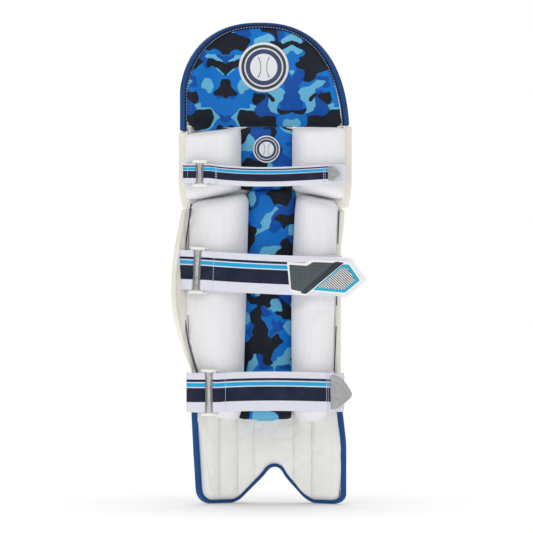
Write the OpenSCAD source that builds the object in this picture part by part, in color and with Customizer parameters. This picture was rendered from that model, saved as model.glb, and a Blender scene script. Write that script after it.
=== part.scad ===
// Cricket leg pad: cane-stiffened shin shell, knee rolls, top hat, calf wing, bolsters and three
// strap fastenings. The leg side faces -Y, the struck face +Y, and the pad stands on its toes at Z = 0.

/* [Shell] */
// Radius of the outer face in plan
shell_r = 150; // [146:1:156]
// Y of the front-most line of the shin
nose_y = 60; // [56:1:64]
// Thickness of the shin wall at the nose
shin_t = 31; // [28:1:32]
// Thickness of the walls at their side edges
edge_t = 14; // [12:1:16]
// Number of vertical shin rolls
shin_rolls = 7; // [5:1:7]
// Angle of the shin's left edge, from the nose
shin_left = -48.5; // [-50:0.5:-46]
// Angle of the shin's right edge, from the nose
shin_right = 52.5; // [50:0.5:54]
// Height of the seam between shin and knee
knee_z = 437; // [430:1:442]
// Height of the seam between knee and top hat
hat_z = 555; // [550:1:558]
// Overall height
pad_h = 710; // [700:1:720]
// Width of the bindings
bind_w = 8; // [6:0.5:10]

/* [Knee] */
// Angle of the knee's left edge
knee_left = -60; // [-61:0.5:-58]
// Angle of the knee's right edge
knee_right = 57.5; // [56:0.5:59]
// Thickness of the knee wall at the nose
knee_t = 29; // [26:1:30]
// How far the knee rolls stand proud of the shell
knee_bulge = 7; // [3:1:9]

/* [Top hat] */
// Thickness of the top hat at its middle
hat_t = 20; // [18:1:22]

/* [Bolsters] */
// Y of the crest of the side bolsters and knee pads
crest_y = -44; // [-45:1:-40]
// Depth of the camber on the centre bolsters
centre_camber = 9; // [5:1:11]

/* [Calf wing] */
// Thickness of the wing
wing_t = 12; // [10:1:14]
// Lower end of the wing
wing_z0 = 196; // [196:1:205]
// Height where the wing is widest
wing_mid = 312; // [300:1:320]
// Upper end of the wing
wing_z1 = 436; // [430:1:436]

/* [Straps] */
// Y of the middle of the straps
strap_y = -52; // [-54:0.5:-52]
// Thickness of the strap webbing
strap_t = 3.2; // [2.4:0.2:3.2]
// Width of the knee strap
knee_strap_w = 28; // [25:1:32]
// Width of the calf and ankle straps
wide_strap_w = 57; // [50:1:57]
// Radius of the slide's side bars
bar_r = 1.8; // [1.5:0.1:2]
// Distance from the slide's centre bar to each side bar
bar_gap = 9; // [9:0.5:10]
// Downward slope of the calf strap, degrees
calf_tilt = 2.5; // [0:0.5:3]

/* [Hidden] */

gap = 0.3;                              // between layers that are sewn together
skin_t = 2.7;                           // thickness of a lining
cane_r = 2.2;
cane_layer = 5;
core_depth = skin_t + cane_layer + gap; // lining and canes, behind the foam
wrap = 0.8;                             // bindings and edges stand this far proud of both faces
centre_y = nose_y - shell_r;            // centre of every plan arc
edge_angle = 3;                         // width of the rolled side edges
// The walls are thickest at the nose and thin towards their side edges
edge_at = 60;
shin_wall = function(t) taper(shin_t, t * edge_at / 51);
knee_wall = function(t) taper(knee_t, t);
hat_wall = function(t) taper(hat_t, t);
// Inner face of each wall, as a radius for an angle from the nose
shin_in = function(t) shell_r - shin_wall(t);
knee_in = function(t) shell_r - knee_wall(t);
hat_in = function(t) hat_out - hat_wall(t);
facets = 4;                             // degrees per flat on the plan arcs
deep = 200;                             // longer than the pad is deep

// Outline of the shin seen from the leg side, in X and Z
toe_left = [-84, 22];
toe_right = [103, 16];
notch = [12, 41];
notch_r = 12;
shin_outline = concat(
    [[67, 0]],
    arc(toe_right, toe_right.y, -90, 0, 5),
    [[120, 51], [118, 95], [113, 138], [111, 200], [111, 374], [115, 409], [118, knee_z + 12]],
    [[-114, knee_z + 12], [-112, 120], [-109, 75]],
    arc(toe_left, toe_left.y, 190, 270, 5),
    [[-48, 0], [-38, 5], [-5, 38]],
    arc(notch, notch_r, 160, 20, 6),
    [[27, 38], [54, 8]]);

// Outline of the top hat: a superellipse whose centre leans to the left as it rises
hat_half_w = 126;
hat_power = 2 / 2.4;
hat_foot = 3;
hat_lean = 6.5;
hat_h = pad_h - hat_z;
hat_outline = concat([for (a = [0:10:180])
    let (h = pow(sin(a), hat_power),
         w = hat_half_w * sign(cos(a)) * pow(abs(cos(a)), hat_power))
    [w - hat_foot - hat_lean * sin(90 * h), hat_z + hat_h * h]],
    [[-hat_half_w - hat_foot, hat_z - bind_w - 4], [hat_half_w - hat_foot, hat_z - bind_w - 4]]);
hat_out = shell_r - 2;

// Wing in plan: a slanting slab from the shin's left edge to its rear edge
wing_front = [-112.6, 8.8];          // on the shin's left edge
wing_rear = [-141, -67];
wing_dir = unit(wing_rear - wing_front);
wing_side = [-wing_dir.y, wing_dir.x];  // towards the leg
wing_foot_y = 5;

// Strap stations: x of the slide's centre bar, and z of the strap's middle
knee_station = [-97, 484];
calf_station = [-101, 344];
ankle_station = [-83.5, 166];
loop_clear = 0.45;
loop_r = bar_r + loop_clear + 1.9;
slide_end_h = 5;
slide_end_t = 5.6;
counter_t = 2.6;
counter_y = crest_y - 0.6;
patch_t = 2.6;
tip_t = 2;

function unit(v) = v / norm(v);
function arc(c, r, a0, a1, n) = [for (i = [0:n])
    let (a = a0 + (a1 - a0) * i / n) c + r * [cos(a), sin(a)]];
function taper(t_mid, t) = t_mid - (t_mid - edge_t) * pow(t / edge_at, 2);
// Point in plan at radius r, t degrees from the nose, positive to the right
function plan(r, t) = [r * sin(t), centre_y + r * cos(t)];
// Curve in plan whose radius is face(t) + d
function plan_curve(face, d, t0, t1) = let (n = max(2, ceil(abs(t1 - t0) / facets)))
    [for (i = [0:n]) let (t = t0 + (t1 - t0) * i / n) plan(face(t) + d, t)];
outer_face = function(t) shell_r;
hat_face = function(t) hat_out;
// A closed anticlockwise outline moved inwards by d
function inset(p, d) = let (n = len(p)) [for (i = [0:n - 1])
    let (u = unit(p[i] - p[(i + n - 1) % n]), v = unit(p[(i + 1) % n] - p[i]))
    p[i] + d / (1 + u * v) * [-u.y - v.y, u.x + v.x]];
// Height of a soft crown, 0 at both ends and 1 in the middle
function crown(u) = pow(1 - pow(abs(2 * u - 1), 2.6), 0.6);
// Crowned face from a to b that rises to Y = crest
function pillow(a, b, crest, n = 12) = [for (i = [0:n])
    let (at = a + (b - a) * i / n) [at.x, at.y + (crest - at.y) * crown(i / n)]];

module upright(z0, z1) translate([0, 0, z0]) linear_extrude(z1 - z0) children();
module from_behind() translate([0, deep / 2, 0]) rotate([90, 0, 0]) linear_extrude(deep) children();
module from_side() rotate([90, 0, 90]) translate([0, 0, -deep]) linear_extrude(2 * deep) children();
// Curved layer between radius face0(t) + d0 and face1(t) + d1
module layer(face0, d0, face1, d1, t0, t1, z0, z1)
    upright(z0, z1) polygon(concat(plan_curve(face0, d0, t0, t1), plan_curve(face1, d1, t1, t0)));

// ---- Shin shell ----
module shin_core() intersection() {
    layer(outer_face, -50, outer_face, 20, shin_left + edge_angle, shin_right - edge_angle, 0, knee_z);
    from_behind() polygon(inset(shin_outline, bind_w));
}
module shin_cover() difference() {
    intersection() {
        layer(shin_in, -wrap, outer_face, wrap, shin_left, shin_right, 0, knee_z);
        from_behind() polygon(shin_outline);
    }
    shin_core();
}
shin_span = (shin_right - shin_left - 2 * edge_angle) / shin_rolls;
module shin_roll(i) {
    t0 = shin_left + edge_angle + (i - 1) * shin_span;
    groove = 5;
    steps = 6;
    color("white") intersection() {
        upright(0, knee_z) polygon(concat(
            [for (k = [0:steps]) let (u = 0.02 + 0.96 * k / steps)
                plan(shell_r - groove * (1 - pow(sin(180 * u), 0.5)), t0 + shin_span * u)],
            plan_curve(shin_in, core_depth + gap, t0 + 0.98 * shin_span, t0 + 0.02 * shin_span)));
        shin_core();
    }
}
module cane_rods() color("burlywood") for (i = [0:shin_rolls - 1], k = [0.2, 0.5, 0.8]) {
    t = shin_left + edge_angle + (i + k) * shin_span;
    at = plan(shin_in(t) + skin_t + gap / 2 + cane_layer / 2, t);
    foot = abs(at.x - notch.x) < 60 ? 75 : 25;
    if (at.x < 96) translate([at.x, at.y, foot]) cylinder(h = knee_z - foot - 4, r = cane_r, $fn = 24);
}
module shin_lining() color("whitesmoke") intersection() {
    layer(shin_in, 0, shin_in, skin_t, shin_left, shin_right, 0, knee_z);
    shin_core();
}
binding_z = 142;
module instep_binding() color("steelblue") intersection() {
    shin_cover();
    upright(0, binding_z) square(2 * deep, center = true);
}
module shin_side_edges() color("ivory") intersection() {
    shin_cover();
    upright(binding_z, knee_z) square(2 * deep, center = true);
}

// ---- Knee ----
knee_roll_h = (hat_z - 1.5 - knee_z - 1) / 3;
knee_roll_in = shell_r - edge_t + wrap + gap;
// A foam roll that runs round the knee, with a crowned outer face
module knee_roll(i) {
    z0 = knee_z + 1 + (i - 1) * knee_roll_h + gap;
    h = knee_roll_h - 2 * gap;
    lobe = 12;
    color("white") translate([0, centre_y, z0]) rotate([0, 0, 90 - knee_right + edge_angle])
        rotate_extrude(angle = knee_right - knee_left - 2 * edge_angle, $fn = 96)
            polygon(concat([[knee_roll_in, 0]],
                [for (k = [0:8]) let (a = -90 + 180 * k / 8)
                    [shell_r + knee_bulge - lobe * (1 - cos(a)), h / 2 * (1 + sin(a))]],
                [[knee_roll_in, h]]));
}
module knee_backing() color("burlywood")
    layer(knee_in, 0, outer_face, knee_roll_in - gap - shell_r, knee_left + edge_angle,
        knee_right - edge_angle, knee_z + 1, hat_z - 1.5);
module knee_side_edges() color("ivory") {
    layer(knee_in, -wrap, outer_face, 0, knee_left, knee_left + edge_angle - 0.2, knee_z + 1, hat_z - 1.5);
    layer(knee_in, -wrap, outer_face, 0, knee_right - edge_angle + 0.2, knee_right,
        knee_z + 1, hat_z - 1.5);
}
// Front face of every bolster and pad that lies on the walls
soft_face = function(t) min(shin_in(t), knee_in(t)) - wrap - gap;
function angle_of(x) = asin(x / (shell_r - shin_t));
// Lower edges of the knee pads slope up towards the middle
pad_top = hat_z - 2;
module knee_pad(x_out, x_in, edge, low_out, low_in) {
    outer = [x_out, crest_y + 18];
    inner = [x_in, -2];
    color("white") intersection() {
        upright(low_out - 5, pad_top) polygon(concat(
            plan_curve(soft_face, 0, edge, angle_of(x_in)),
            pillow(inner, outer, crest_y)));
        from_behind() polygon([[x_out, low_out], [x_in, low_in], [x_in, pad_top], [x_out, pad_top]]);
    }
}
module knee_pad_left() knee_pad(-116.5, -38, knee_left - 0.5, 445, 462);
module knee_pad_right() knee_pad(113.5, 38.5, knee_right + 0.5, 445, 462);
knee_bolster_x = [-37, 37.5];
centre_face_y = crest_y + 56;
// Crowned strip between the side pads
module centre_strip(x0, x1, z0, z1) upright(z0, z1) polygon(concat(
    plan_curve(soft_face, 0, angle_of(x1), angle_of(x0)),
    pillow([x0, centre_face_y], [x1, centre_face_y], centre_face_y - centre_camber)));
module knee_bolster() color("royalblue")
    centre_strip(knee_bolster_x[0], knee_bolster_x[1], 462.5, pad_top);
// Disc sewn on the knee bolster
module knee_badge() color("white")
    translate([0, centre_face_y - centre_camber - 0.2, 521]) rotate([90, 0, 0])
        cylinder(h = 1.8, r = 20, $fn = 60);

// ---- Calf bolsters ----
bolster_foot = 126;
left_channel = [-26, -35];              // inner edge of the left bolster at its top and foot
right_channel = [41, 36];
module calf_bolster_left() {
    outer = wing_front + 47 * wing_dir + (wing_t + 1.8) * wing_side;
    inner = [-24, -4];
    color("white") intersection() {
        upright(bolster_foot, 460) polygon(concat(
            plan_curve(soft_face, 0, shin_left, angle_of(inner.x)),
            pillow(inner, outer, crest_y)));
        from_behind() polygon(concat([[-80, bolster_foot], [left_channel[1] - 10, bolster_foot]],
            [[left_channel[1], bolster_foot + 10], [left_channel[0], 448], [left_channel[0] - 8, 458]],
            [[-107, 441], [-121, 330], [-119, 280], [-101, 198]]));
    }
}
module calf_bolster_right() {
    outer = [106, -24];
    inner = [34, -4];
    color("white") intersection() {
        upright(bolster_foot, 460) polygon(concat(
            plan_curve(soft_face, 0, shin_right, angle_of(inner.x)),
            pillow(inner, outer, crest_y)));
        from_behind() polygon([[right_channel[1] + 10, bolster_foot], [88, bolster_foot], [94, 134],
            [97, 196], [102, 300], [106, 441], [right_channel[0] + 8, 458], [right_channel[0], 448],
            [right_channel[1], bolster_foot + 10]]);
    }
}
module centre_bolster() color("royalblue") intersection() {
    centre_strip(left_channel[1], right_channel[0], bolster_foot, 461);
    from_behind() polygon([[left_channel[1] + 1, bolster_foot], [right_channel[1] - 1, bolster_foot],
        [right_channel[0] - 1, 461], [left_channel[0] + 1, 461]]);
}

// ---- Calf wing ----
function wing_edge(u) = wing_foot_y - (wing_foot_y - wing_rear.y) * sin(90 * u);
wing_outline = concat([[20, wing_z1], [wing_rear.y + 40, wing_z1]],
    [for (k = [7:-1:1]) let (u = k / 8)
        [wing_rear.y + 40 * (1 - cos(90 * u)), wing_mid + (wing_z1 - wing_mid) * u]],
    [for (k = [10:-1:0]) let (u = k / 10) [wing_edge(u), wing_z0 + (wing_mid - wing_z0) * u]],
    [[20, wing_z0]]);
// Layer of the wing between two depths, measured from its outer face
module wing_layer(d0, d1) {
    bevel = 0.38;                       // the front edge lies along the shin's edge
    length = norm(wing_rear - wing_front) + 5;
    upright(wing_z0, wing_z1) polygon([wing_front + d0 * (wing_side + bevel * wing_dir),
        wing_front + d0 * wing_side + length * wing_dir,
        wing_front + d1 * wing_side + length * wing_dir,
        wing_front + d1 * (wing_side + bevel * wing_dir)]);
}
module wing_panel(d0, d1) intersection() {
    wing_layer(d0, d1);
    from_side() polygon(inset(wing_outline, bind_w));
}
module wing_facing() color("white") wing_panel(0.6, 3);
module wing_foam() color("khaki") wing_panel(3.2, wing_t - 3);
module wing_lining() color("ivory") wing_panel(wing_t - 2.8, wing_t - 0.4);
module wing_binding() color("ivory") difference() {
    intersection() {
        wing_layer(0, wing_t);
        from_side() polygon(wing_outline);
    }
    from_side() polygon(inset(wing_outline, bind_w));
}

// ---- Top hat ----
hat_left = -60;
hat_right = 57.5;
hat_core_depth = 5;                     // lining and backing board, behind the foam
module hat_core() intersection() {
    layer(outer_face, -50, outer_face, 20, hat_left + edge_angle, hat_right - edge_angle, hat_z, pad_h);
    from_behind() polygon(inset(hat_outline, bind_w));
}
module top_hat_roll(i) {
    span = (hat_right - hat_left - 2 * edge_angle) / 3;
    t0 = hat_left + edge_angle + (i - 1) * span;
    steps = 10;
    groove = 5;
    color("white") intersection() {
        upright(hat_z, pad_h) polygon(concat(
            [for (k = [0:steps]) let (u = 0.01 + 0.98 * k / steps)
                plan(hat_out - groove * (1 - pow(sin(180 * u), 0.5)), t0 + span * u)],
            plan_curve(hat_in, hat_core_depth, t0 + 0.99 * span, t0 + 0.01 * span)));
        hat_core();
    }
}
module top_hat_backing() color("burlywood") intersection() {
    layer(hat_in, skin_t + gap, hat_in, hat_core_depth - gap, hat_left, hat_right, hat_z, pad_h);
    hat_core();
}
module top_hat_lining() color("royalblue") intersection() {
    layer(hat_in, 0, hat_in, skin_t, hat_left, hat_right, hat_z, pad_h);
    hat_core();
}
module top_hat_binding() color("steelblue") difference() {
    intersection() {
        layer(hat_in, -wrap, hat_face, wrap, hat_left, hat_right, hat_z, pad_h);
        from_behind() polygon(hat_outline);
    }
    hat_core();
}
module top_hat_badge() color("white") intersection() {
    layer(hat_in, -2, hat_in, -gap, -30, 30, hat_z, pad_h);
    from_behind() translate([-4, 643]) circle(r = 38, $fn = 60);
}

// ---- Strap fastenings ----
// Places a fastening's own frame: origin on the slide's left bar, +X along the strap
module at_station(station, tilt = 0)
    translate([station.x - bar_gap, strap_y, station.y]) rotate([0, tilt, 0]) children();
// Webbing sewn in a loop round a bar at the origin, running on to x1
module loop_band(w, x1) translate([0, 0, -w / 2]) linear_extrude(w) difference() {
    union() {
        circle(r = loop_r, $fn = 48);
        translate([min(0, x1), -strap_t / 2]) square([abs(x1), strap_t]);
    }
    circle(r = bar_r + loop_clear, $fn = 48);
}
module slide_frame(w) color("white") {
    for (x = [0, 2 * bar_gap]) translate([x, 0, -w / 2 - 1]) cylinder(h = w + 2, r = bar_r, $fn = 32);
    for (z = [w / 2 + 0.6, -w / 2 - 0.6 - slide_end_h]) translate([0, 0, z])
        linear_extrude(slide_end_h) {
            translate([0, -slide_end_t / 2]) square([2 * bar_gap, slide_end_t]);
            for (x = [0, 2 * bar_gap]) translate([x, 0]) circle(r = slide_end_t / 2, $fn = 32);
        }
}
module slide_bar(w) color("slategray")
    translate([bar_gap - 3.2, -0.8, -w / 2 - 0.6]) cube([6.4, 1.6, w + 1.2]);
module strap_band(w, x1) color("midnightblue") translate([2 * bar_gap, 0, 0]) loop_band(w, x1);
// Hook patch sewn on the side of the strap that faces the counter strap
module hook_patch(w, x0, x1) color("gainsboro")
    translate([x0, strap_t / 2, -w / 2 + 2]) cube([x1 - x0, patch_t, w - 4]);
// Counter strap: lies behind the hook patch, then turns in to the pad's right edge
module counter_strap(w, z, x0, x1, root_y) color("white") upright(z - w / 2, z + w / 2)
    polygon([[x0, counter_y - counter_t], [x1, counter_y - counter_t], [x1, root_y],
        [x1 - counter_t, root_y], [x1 - counter_t, counter_y], [x0, counter_y]]);
// Anchor loop that turns in to the pad's left edge
module edge_anchor(station, w, x_edge, root_y) color("white") at_station(station) {
    loop_band(w, x_edge - (station.x - bar_gap));
    translate([x_edge - (station.x - bar_gap), -strap_t / 2, -w / 2])
        cube([strap_t, root_y - strap_y + strap_t / 2, w]);
}
module underpad(station, w, tilt = 0) color("white") at_station(station, tilt)
    translate([-5, crest_y - 0.4 - strap_y - 2.8, -w / 2 - 7]) cube([30, 2.8, w + 14]);
// Moulded tip: a plate with a pointed end, seen from the leg side
module pointed_tip(w, x0, x1) color("silver") translate([0, -strap_t / 2, 0]) rotate([90, 0, 0])
    linear_extrude(tip_t) polygon([[x0, -w / 2], [x1 - w / 5, -w / 2], [x1, -w / 8], [x1, w / 8],
        [x1 - w / 5, w / 2], [x0, w / 2]]);

module knee_anchor() edge_anchor(knee_station, knee_strap_w, -120.5, -23.2);
module ankle_anchor() edge_anchor(ankle_station, wide_strap_w, -115.5, 9);
module calf_anchor() color("white") at_station(calf_station, calf_tilt)
    loop_band(wide_strap_w, -11.5);
module knee_underpad() underpad(knee_station, knee_strap_w);
module calf_underpad() underpad(calf_station, wide_strap_w, calf_tilt);
module ankle_underpad() underpad(ankle_station, wide_strap_w);
module knee_counter_strap() counter_strap(knee_strap_w, knee_station.y, 44, 118.6, -17.5);
module calf_counter_strap() counter_strap(wide_strap_w, calf_station.y - 7, 44, 110.8, -7.6);
module ankle_counter_strap() counter_strap(wide_strap_w, ankle_station.y, 44, 113.6, -5.6);

module knee_slide() at_station(knee_station) slide_frame(knee_strap_w);
module calf_slide() at_station(calf_station, calf_tilt) slide_frame(wide_strap_w);
module ankle_slide() at_station(ankle_station) slide_frame(wide_strap_w);
module knee_slide_bar() at_station(knee_station) slide_bar(knee_strap_w);
module calf_slide_bar() at_station(calf_station, calf_tilt) slide_bar(wide_strap_w);
module ankle_slide_bar() at_station(ankle_station) slide_bar(wide_strap_w);

// Free ends, measured from each slide's left bar
knee_reach = 212;
calf_reach = 228;
ankle_reach = 214;
module knee_strap() at_station(knee_station)
    strap_band(knee_strap_w, knee_reach - 8 - 2 * bar_gap);
module calf_strap() at_station(calf_station, calf_tilt)
    strap_band(wide_strap_w, calf_reach - 2 * bar_gap);
module ankle_strap() at_station(ankle_station)
    strap_band(wide_strap_w, ankle_reach - 6 - 2 * bar_gap);
module knee_hook_patch() at_station(knee_station)
    hook_patch(knee_strap_w, knee_reach - 62, knee_reach - 10);
module calf_hook_patch() at_station(calf_station, calf_tilt)
    hook_patch(wide_strap_w, calf_reach - 68, calf_reach - 10);
module ankle_hook_patch() at_station(ankle_station)
    hook_patch(wide_strap_w, ankle_reach - 58, ankle_reach - 10);
module knee_tip() at_station(knee_station)
    pointed_tip(knee_strap_w, knee_reach - 18, knee_reach + 2);
module ankle_tip() at_station(ankle_station)
    pointed_tip(wide_strap_w + 3, ankle_reach - 32, ankle_reach + 4);
// Large badge plate that covers the end of the calf strap
module calf_tip() color("dimgray") at_station(calf_station, calf_tilt)
    translate([0, -strap_t / 2, 0]) rotate([90, 0, 0]) linear_extrude(tip_t)
        polygon([[139, 18], [145, -25], [158, -29], [170, -30], [176, -23], [225, -25],
            [calf_reach + 15, -2], [calf_reach + 23, -2], [calf_reach + 2, 23], [174, 23], [165, 17]]);

shin_roll(1);  // shin_roll_1
shin_roll(2);  // shin_roll_2
shin_roll(3);  // shin_roll_3
shin_roll(4);  // shin_roll_4
shin_roll(5);  // shin_roll_5
shin_roll(6);  // shin_roll_6
shin_roll(7);  // shin_roll_7
cane_rods();
shin_lining();
instep_binding();
shin_side_edges();
knee_roll(1);  // knee_roll_lower
knee_roll(2);  // knee_roll_middle
knee_roll(3);  // knee_roll_upper
knee_backing();
knee_side_edges();
knee_pad_left();
knee_pad_right();
knee_bolster();
knee_badge();
calf_bolster_left();
calf_bolster_right();
centre_bolster();
wing_facing();
wing_foam();
wing_lining();
wing_binding();
knee_anchor();
calf_anchor();
ankle_anchor();
knee_underpad();
calf_underpad();
ankle_underpad();
knee_counter_strap();
calf_counter_strap();
ankle_counter_strap();
top_hat_roll(1);  // top_hat_roll_1
top_hat_roll(2);  // top_hat_roll_2
top_hat_roll(3);  // top_hat_roll_3
top_hat_backing();
top_hat_lining();
top_hat_binding();
top_hat_badge();
knee_slide();
knee_slide_bar();
calf_slide();
calf_slide_bar();
ankle_slide();
ankle_slide_bar();
knee_strap();
knee_hook_patch();
knee_tip();
calf_strap();
calf_hook_patch();
calf_tip();
ankle_strap();
ankle_hook_patch();
ankle_tip();
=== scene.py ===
"""Cricket leg pad, seen from the leg side: the sewn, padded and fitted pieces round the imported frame."""

import math

import bmesh
import bpy
import numpy as np
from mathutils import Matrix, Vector, noise


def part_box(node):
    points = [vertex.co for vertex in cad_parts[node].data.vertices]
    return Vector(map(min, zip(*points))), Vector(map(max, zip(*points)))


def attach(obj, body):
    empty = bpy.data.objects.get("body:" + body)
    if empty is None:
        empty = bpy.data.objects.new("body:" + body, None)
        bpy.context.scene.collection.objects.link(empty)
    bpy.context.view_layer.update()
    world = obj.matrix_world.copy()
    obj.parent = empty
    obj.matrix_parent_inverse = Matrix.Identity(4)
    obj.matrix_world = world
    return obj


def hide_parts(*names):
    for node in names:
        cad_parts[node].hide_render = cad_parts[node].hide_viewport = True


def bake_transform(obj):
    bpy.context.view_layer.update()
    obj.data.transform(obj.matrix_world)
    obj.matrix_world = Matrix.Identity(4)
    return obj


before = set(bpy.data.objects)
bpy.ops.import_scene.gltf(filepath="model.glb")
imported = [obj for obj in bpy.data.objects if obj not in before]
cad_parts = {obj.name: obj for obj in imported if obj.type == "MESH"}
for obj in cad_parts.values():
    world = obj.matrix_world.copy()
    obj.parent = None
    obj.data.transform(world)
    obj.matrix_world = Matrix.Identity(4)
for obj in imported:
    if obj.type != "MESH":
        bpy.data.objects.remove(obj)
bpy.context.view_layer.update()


# ---- Camera, lights and floor ----
# A long lens looks level at the leg side. The floor and the air are white, and three large soft
# lamps stand in front, with two behind so that the struck face is lit as well.
middle_z = 0.349
view_width = 0.781
camera_gap = 5.0
lens = bpy.data.cameras.new("camera")
lens.sensor_width = 36
lens.lens = 36 * camera_gap / view_width
camera = bpy.data.objects.new("camera", lens)
camera.location = (0, -camera_gap, middle_z)
camera.rotation_euler = (math.radians(90), 0, 0)
bpy.context.scene.collection.objects.link(camera)
bpy.context.scene.camera = camera
bpy.context.scene.view_settings.view_transform = "Standard"

lamps = (("key", (-1.9, -3.2, 2.3), 1.6, 30), ("fill", (2.4, -2.9, 1.2), 2.2, 9),
         ("top", (0.2, -0.4, 3.0), 1.6, 14), ("back_left", (-2.0, 2.8, 1.9), 2.0, 26),
         ("back_right", (2.2, 2.6, 1.3), 2.2, 10))
for name, place, size, watts in lamps:
    lamp = bpy.data.lights.new(name, "AREA")
    lamp.size = size
    lamp.energy = watts
    light = bpy.data.objects.new(name, lamp)
    light.location = place
    light.rotation_euler = (Vector((0, 0, 0.35)) - Vector(place)).to_track_quat("-Z", "Y").to_euler()
    bpy.context.scene.collection.objects.link(light)
air = bpy.data.worlds.new("air")
air.use_nodes = True
bpy.context.scene.world = air


def tint(red, green, blue):
    """A colour given as it shows on a screen, 0 to 255, as shader values."""
    return [((c / 255 + 0.055) / 1.055) ** 2.4 if c > 10 else c / 3294.6 for c in (red, green, blue)] + [1]


def finish(name, roughness=0.6, sheen=0.0, metallic=0.0, specular=0.5):
    """A new material, its nodes and its shader."""
    made = bpy.data.materials.new(name)
    made.use_nodes = True
    shader = made.node_tree.nodes["Principled BSDF"]
    for socket, value in (("Roughness", roughness), ("Sheen Weight", sheen), ("Metallic", metallic),
                          ("Specular IOR Level", specular)):
        shader.inputs[socket].default_value = value
    return made, made.node_tree, shader


def add(tree, kind, settings=None, *inputs, **named):
    """Adds a shader node and fills its inputs with values or with other nodes' outputs."""
    made = tree.nodes.new("ShaderNode" + kind)
    for key, value in (settings or {}).items():
        setattr(made, key, value)
    filled = list(zip(made.inputs, inputs))
    filled += [(made.inputs[label.replace("_", " ")], value) for label, value in named.items()]
    for socket, value in filled:
        if isinstance(value, bpy.types.NodeSocket):
            tree.links.new(value, socket)
        elif value is not None:
            socket.default_value = value
    return made.outputs[0]


def sums(tree, operation, *inputs):
    """A maths node."""
    return add(tree, "Math", {"operation": operation}, *inputs)


def blended(tree, amount, first, second):
    """Two colours mixed by an amount."""
    made = tree.nodes.new("ShaderNodeMix")
    made.data_type = "RGBA"
    for socket, value in ((made.inputs[0], amount), (made.inputs[6], first), (made.inputs[7], second)):
        if isinstance(value, bpy.types.NodeSocket):
            tree.links.new(value, socket)
        else:
            socket.default_value = value
    return made.outputs[2]


def stepped(tree, value, low, high):
    """0 below low and 1 above high."""
    made = tree.nodes.new("ShaderNodeMapRange")
    tree.links.new(value, made.inputs[0])
    made.inputs[1].default_value, made.inputs[2].default_value = low, high
    return made.outputs[0]


def place_on(tree):
    """Object coordinates."""
    return tree.nodes.new("ShaderNodeTexCoord").outputs["Object"]


def raised(tree, shader, height, depth, strength=1.0):
    """Adds relief of a depth in metres, on top of any relief that is already there."""
    socket = shader.inputs["Normal"]
    before = socket.links[0].from_socket if socket.is_linked else None
    relief = add(tree, "Bump", None, Strength=strength, Distance=depth, Height=height, Normal=before)
    tree.links.new(relief, socket)


# The air looks white, and lights the pad more softly than it looks
seen = air.node_tree.nodes.new("ShaderNodeLightPath").outputs["Is Camera Ray"]
strength = add(air.node_tree, "MapRange", None, seen, 0.0, 1.0, 0.5, 1.0)
air.node_tree.links.new(strength, air.node_tree.nodes["Background"].inputs["Strength"])
air.node_tree.nodes["Background"].inputs["Color"].default_value = (1, 1, 1, 1)

floor_finish, tree, shader = finish("studio_floor", 0.9, specular=0.1)
# White all over, but for a painted shadow close to the pad: its glow colour is mixed towards a pinkish grey
# where ambient occlusion finds the pad near
open_sky = add(tree, "AmbientOcclusion", {"samples": 16}, Distance=0.35)
shader.inputs["Base Color"].default_value = (0, 0, 0, 1)
tree.links.new(blended(tree, open_sky, tint(138, 126, 129), (1, 1, 1, 1)), shader.inputs["Emission Color"])
seen = tree.nodes.new("ShaderNodeLightPath").outputs["Is Camera Ray"]
tree.links.new(add(tree, "MapRange", None, seen, 0.0, 1.0, 1.2, 1.0), shader.inputs["Emission Strength"])
floor_mesh = bpy.data.meshes.new("studio_floor")
floor_mesh.from_pydata([(-14, -14, 0), (14, -14, 0), (14, 14, 0), (-14, 14, 0)], [], [(0, 1, 2, 3)])
floor_mesh.materials.append(floor_finish)
floor = bpy.data.objects.new("studio_floor", floor_mesh)
bpy.context.scene.collection.objects.link(floor)


# ---- Shin rolls ----
# The struck face of the shin is seven upright rolls of foam under one white coated facing, sewn
# down between the rolls. Each roll is crowned, and puckers a little along its two stitch lines.
shell_r, nose_y, edge_t, edge_angle = 150.0, 60.0, 14.0, 3.0
centre_y = nose_y - shell_r
# The shin's sides, its thickness at the nose, and the angle at which it has thinned to its edge
shin_left, shin_right, shin_t, shin_wrap = -48.5, 52.5, 31.0, 51
knee_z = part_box("knee_roll_lower")[0].z * 1000 - 1.3


def turn(centre, radius, start, stop, count=10):
    """Points on an arc, in degrees."""
    angles = np.radians(np.linspace(start, stop, count))
    return [(centre[0] + radius * math.cos(a), centre[1] + radius * math.sin(a)) for a in angles]


shin_foot = ([(-112, 120), (-109, 75)] + turn((-84, 22), 22, 190, 270) + [(-48, 0), (-38, 5), (-5, 38)]
             + turn((12, 41), 12, 160, 20) + [(27, 38), (54, 8), (67, 0)] + turn((103, 16), 16, -90, 0)
             + [(120, 51), (118, 95), (113, 138)])


def even(points, step, soften=0):
    """The same line with points at even steps, its corners softened."""
    line = np.array(points, float)
    along = np.r_[0, np.cumsum(np.linalg.norm(np.diff(line, axis=0), axis=1))]
    at = np.linspace(0, along[-1], max(3, int(round(along[-1] / step)) + 1))
    line = np.stack([np.interp(at, along, line[:, k]) for k in range(line.shape[1])], 1)
    for _ in range(soften):
        line[1:-1] = (line[:-2] + 2 * line[1:-1] + line[2:]) / 4
    return line


def left_of(line):
    """Unit vectors to the left of a flat line."""
    run = np.gradient(line, axis=0)
    run /= np.linalg.norm(run, axis=1)[:, None]
    return np.stack([-run[:, 1], run[:, 0]], 1)


foot_line = even(shin_foot, 3, 3)


def foot_z(x, inset):
    """Height of the shin's lower edge at x, moved up by an inset."""
    moved = foot_line + inset * left_of(foot_line)
    low = moved[np.argmin(moved[:, 0]):np.argmax(moved[:, 0]) + 1]
    order = np.argsort(low[:, 0])
    return np.interp(x, low[order, 0], low[order, 1])


def wall(t, middle, at):
    """Thickness of a wall t degrees from the nose."""
    return middle - (middle - edge_t) * (t / at) ** 2


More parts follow.
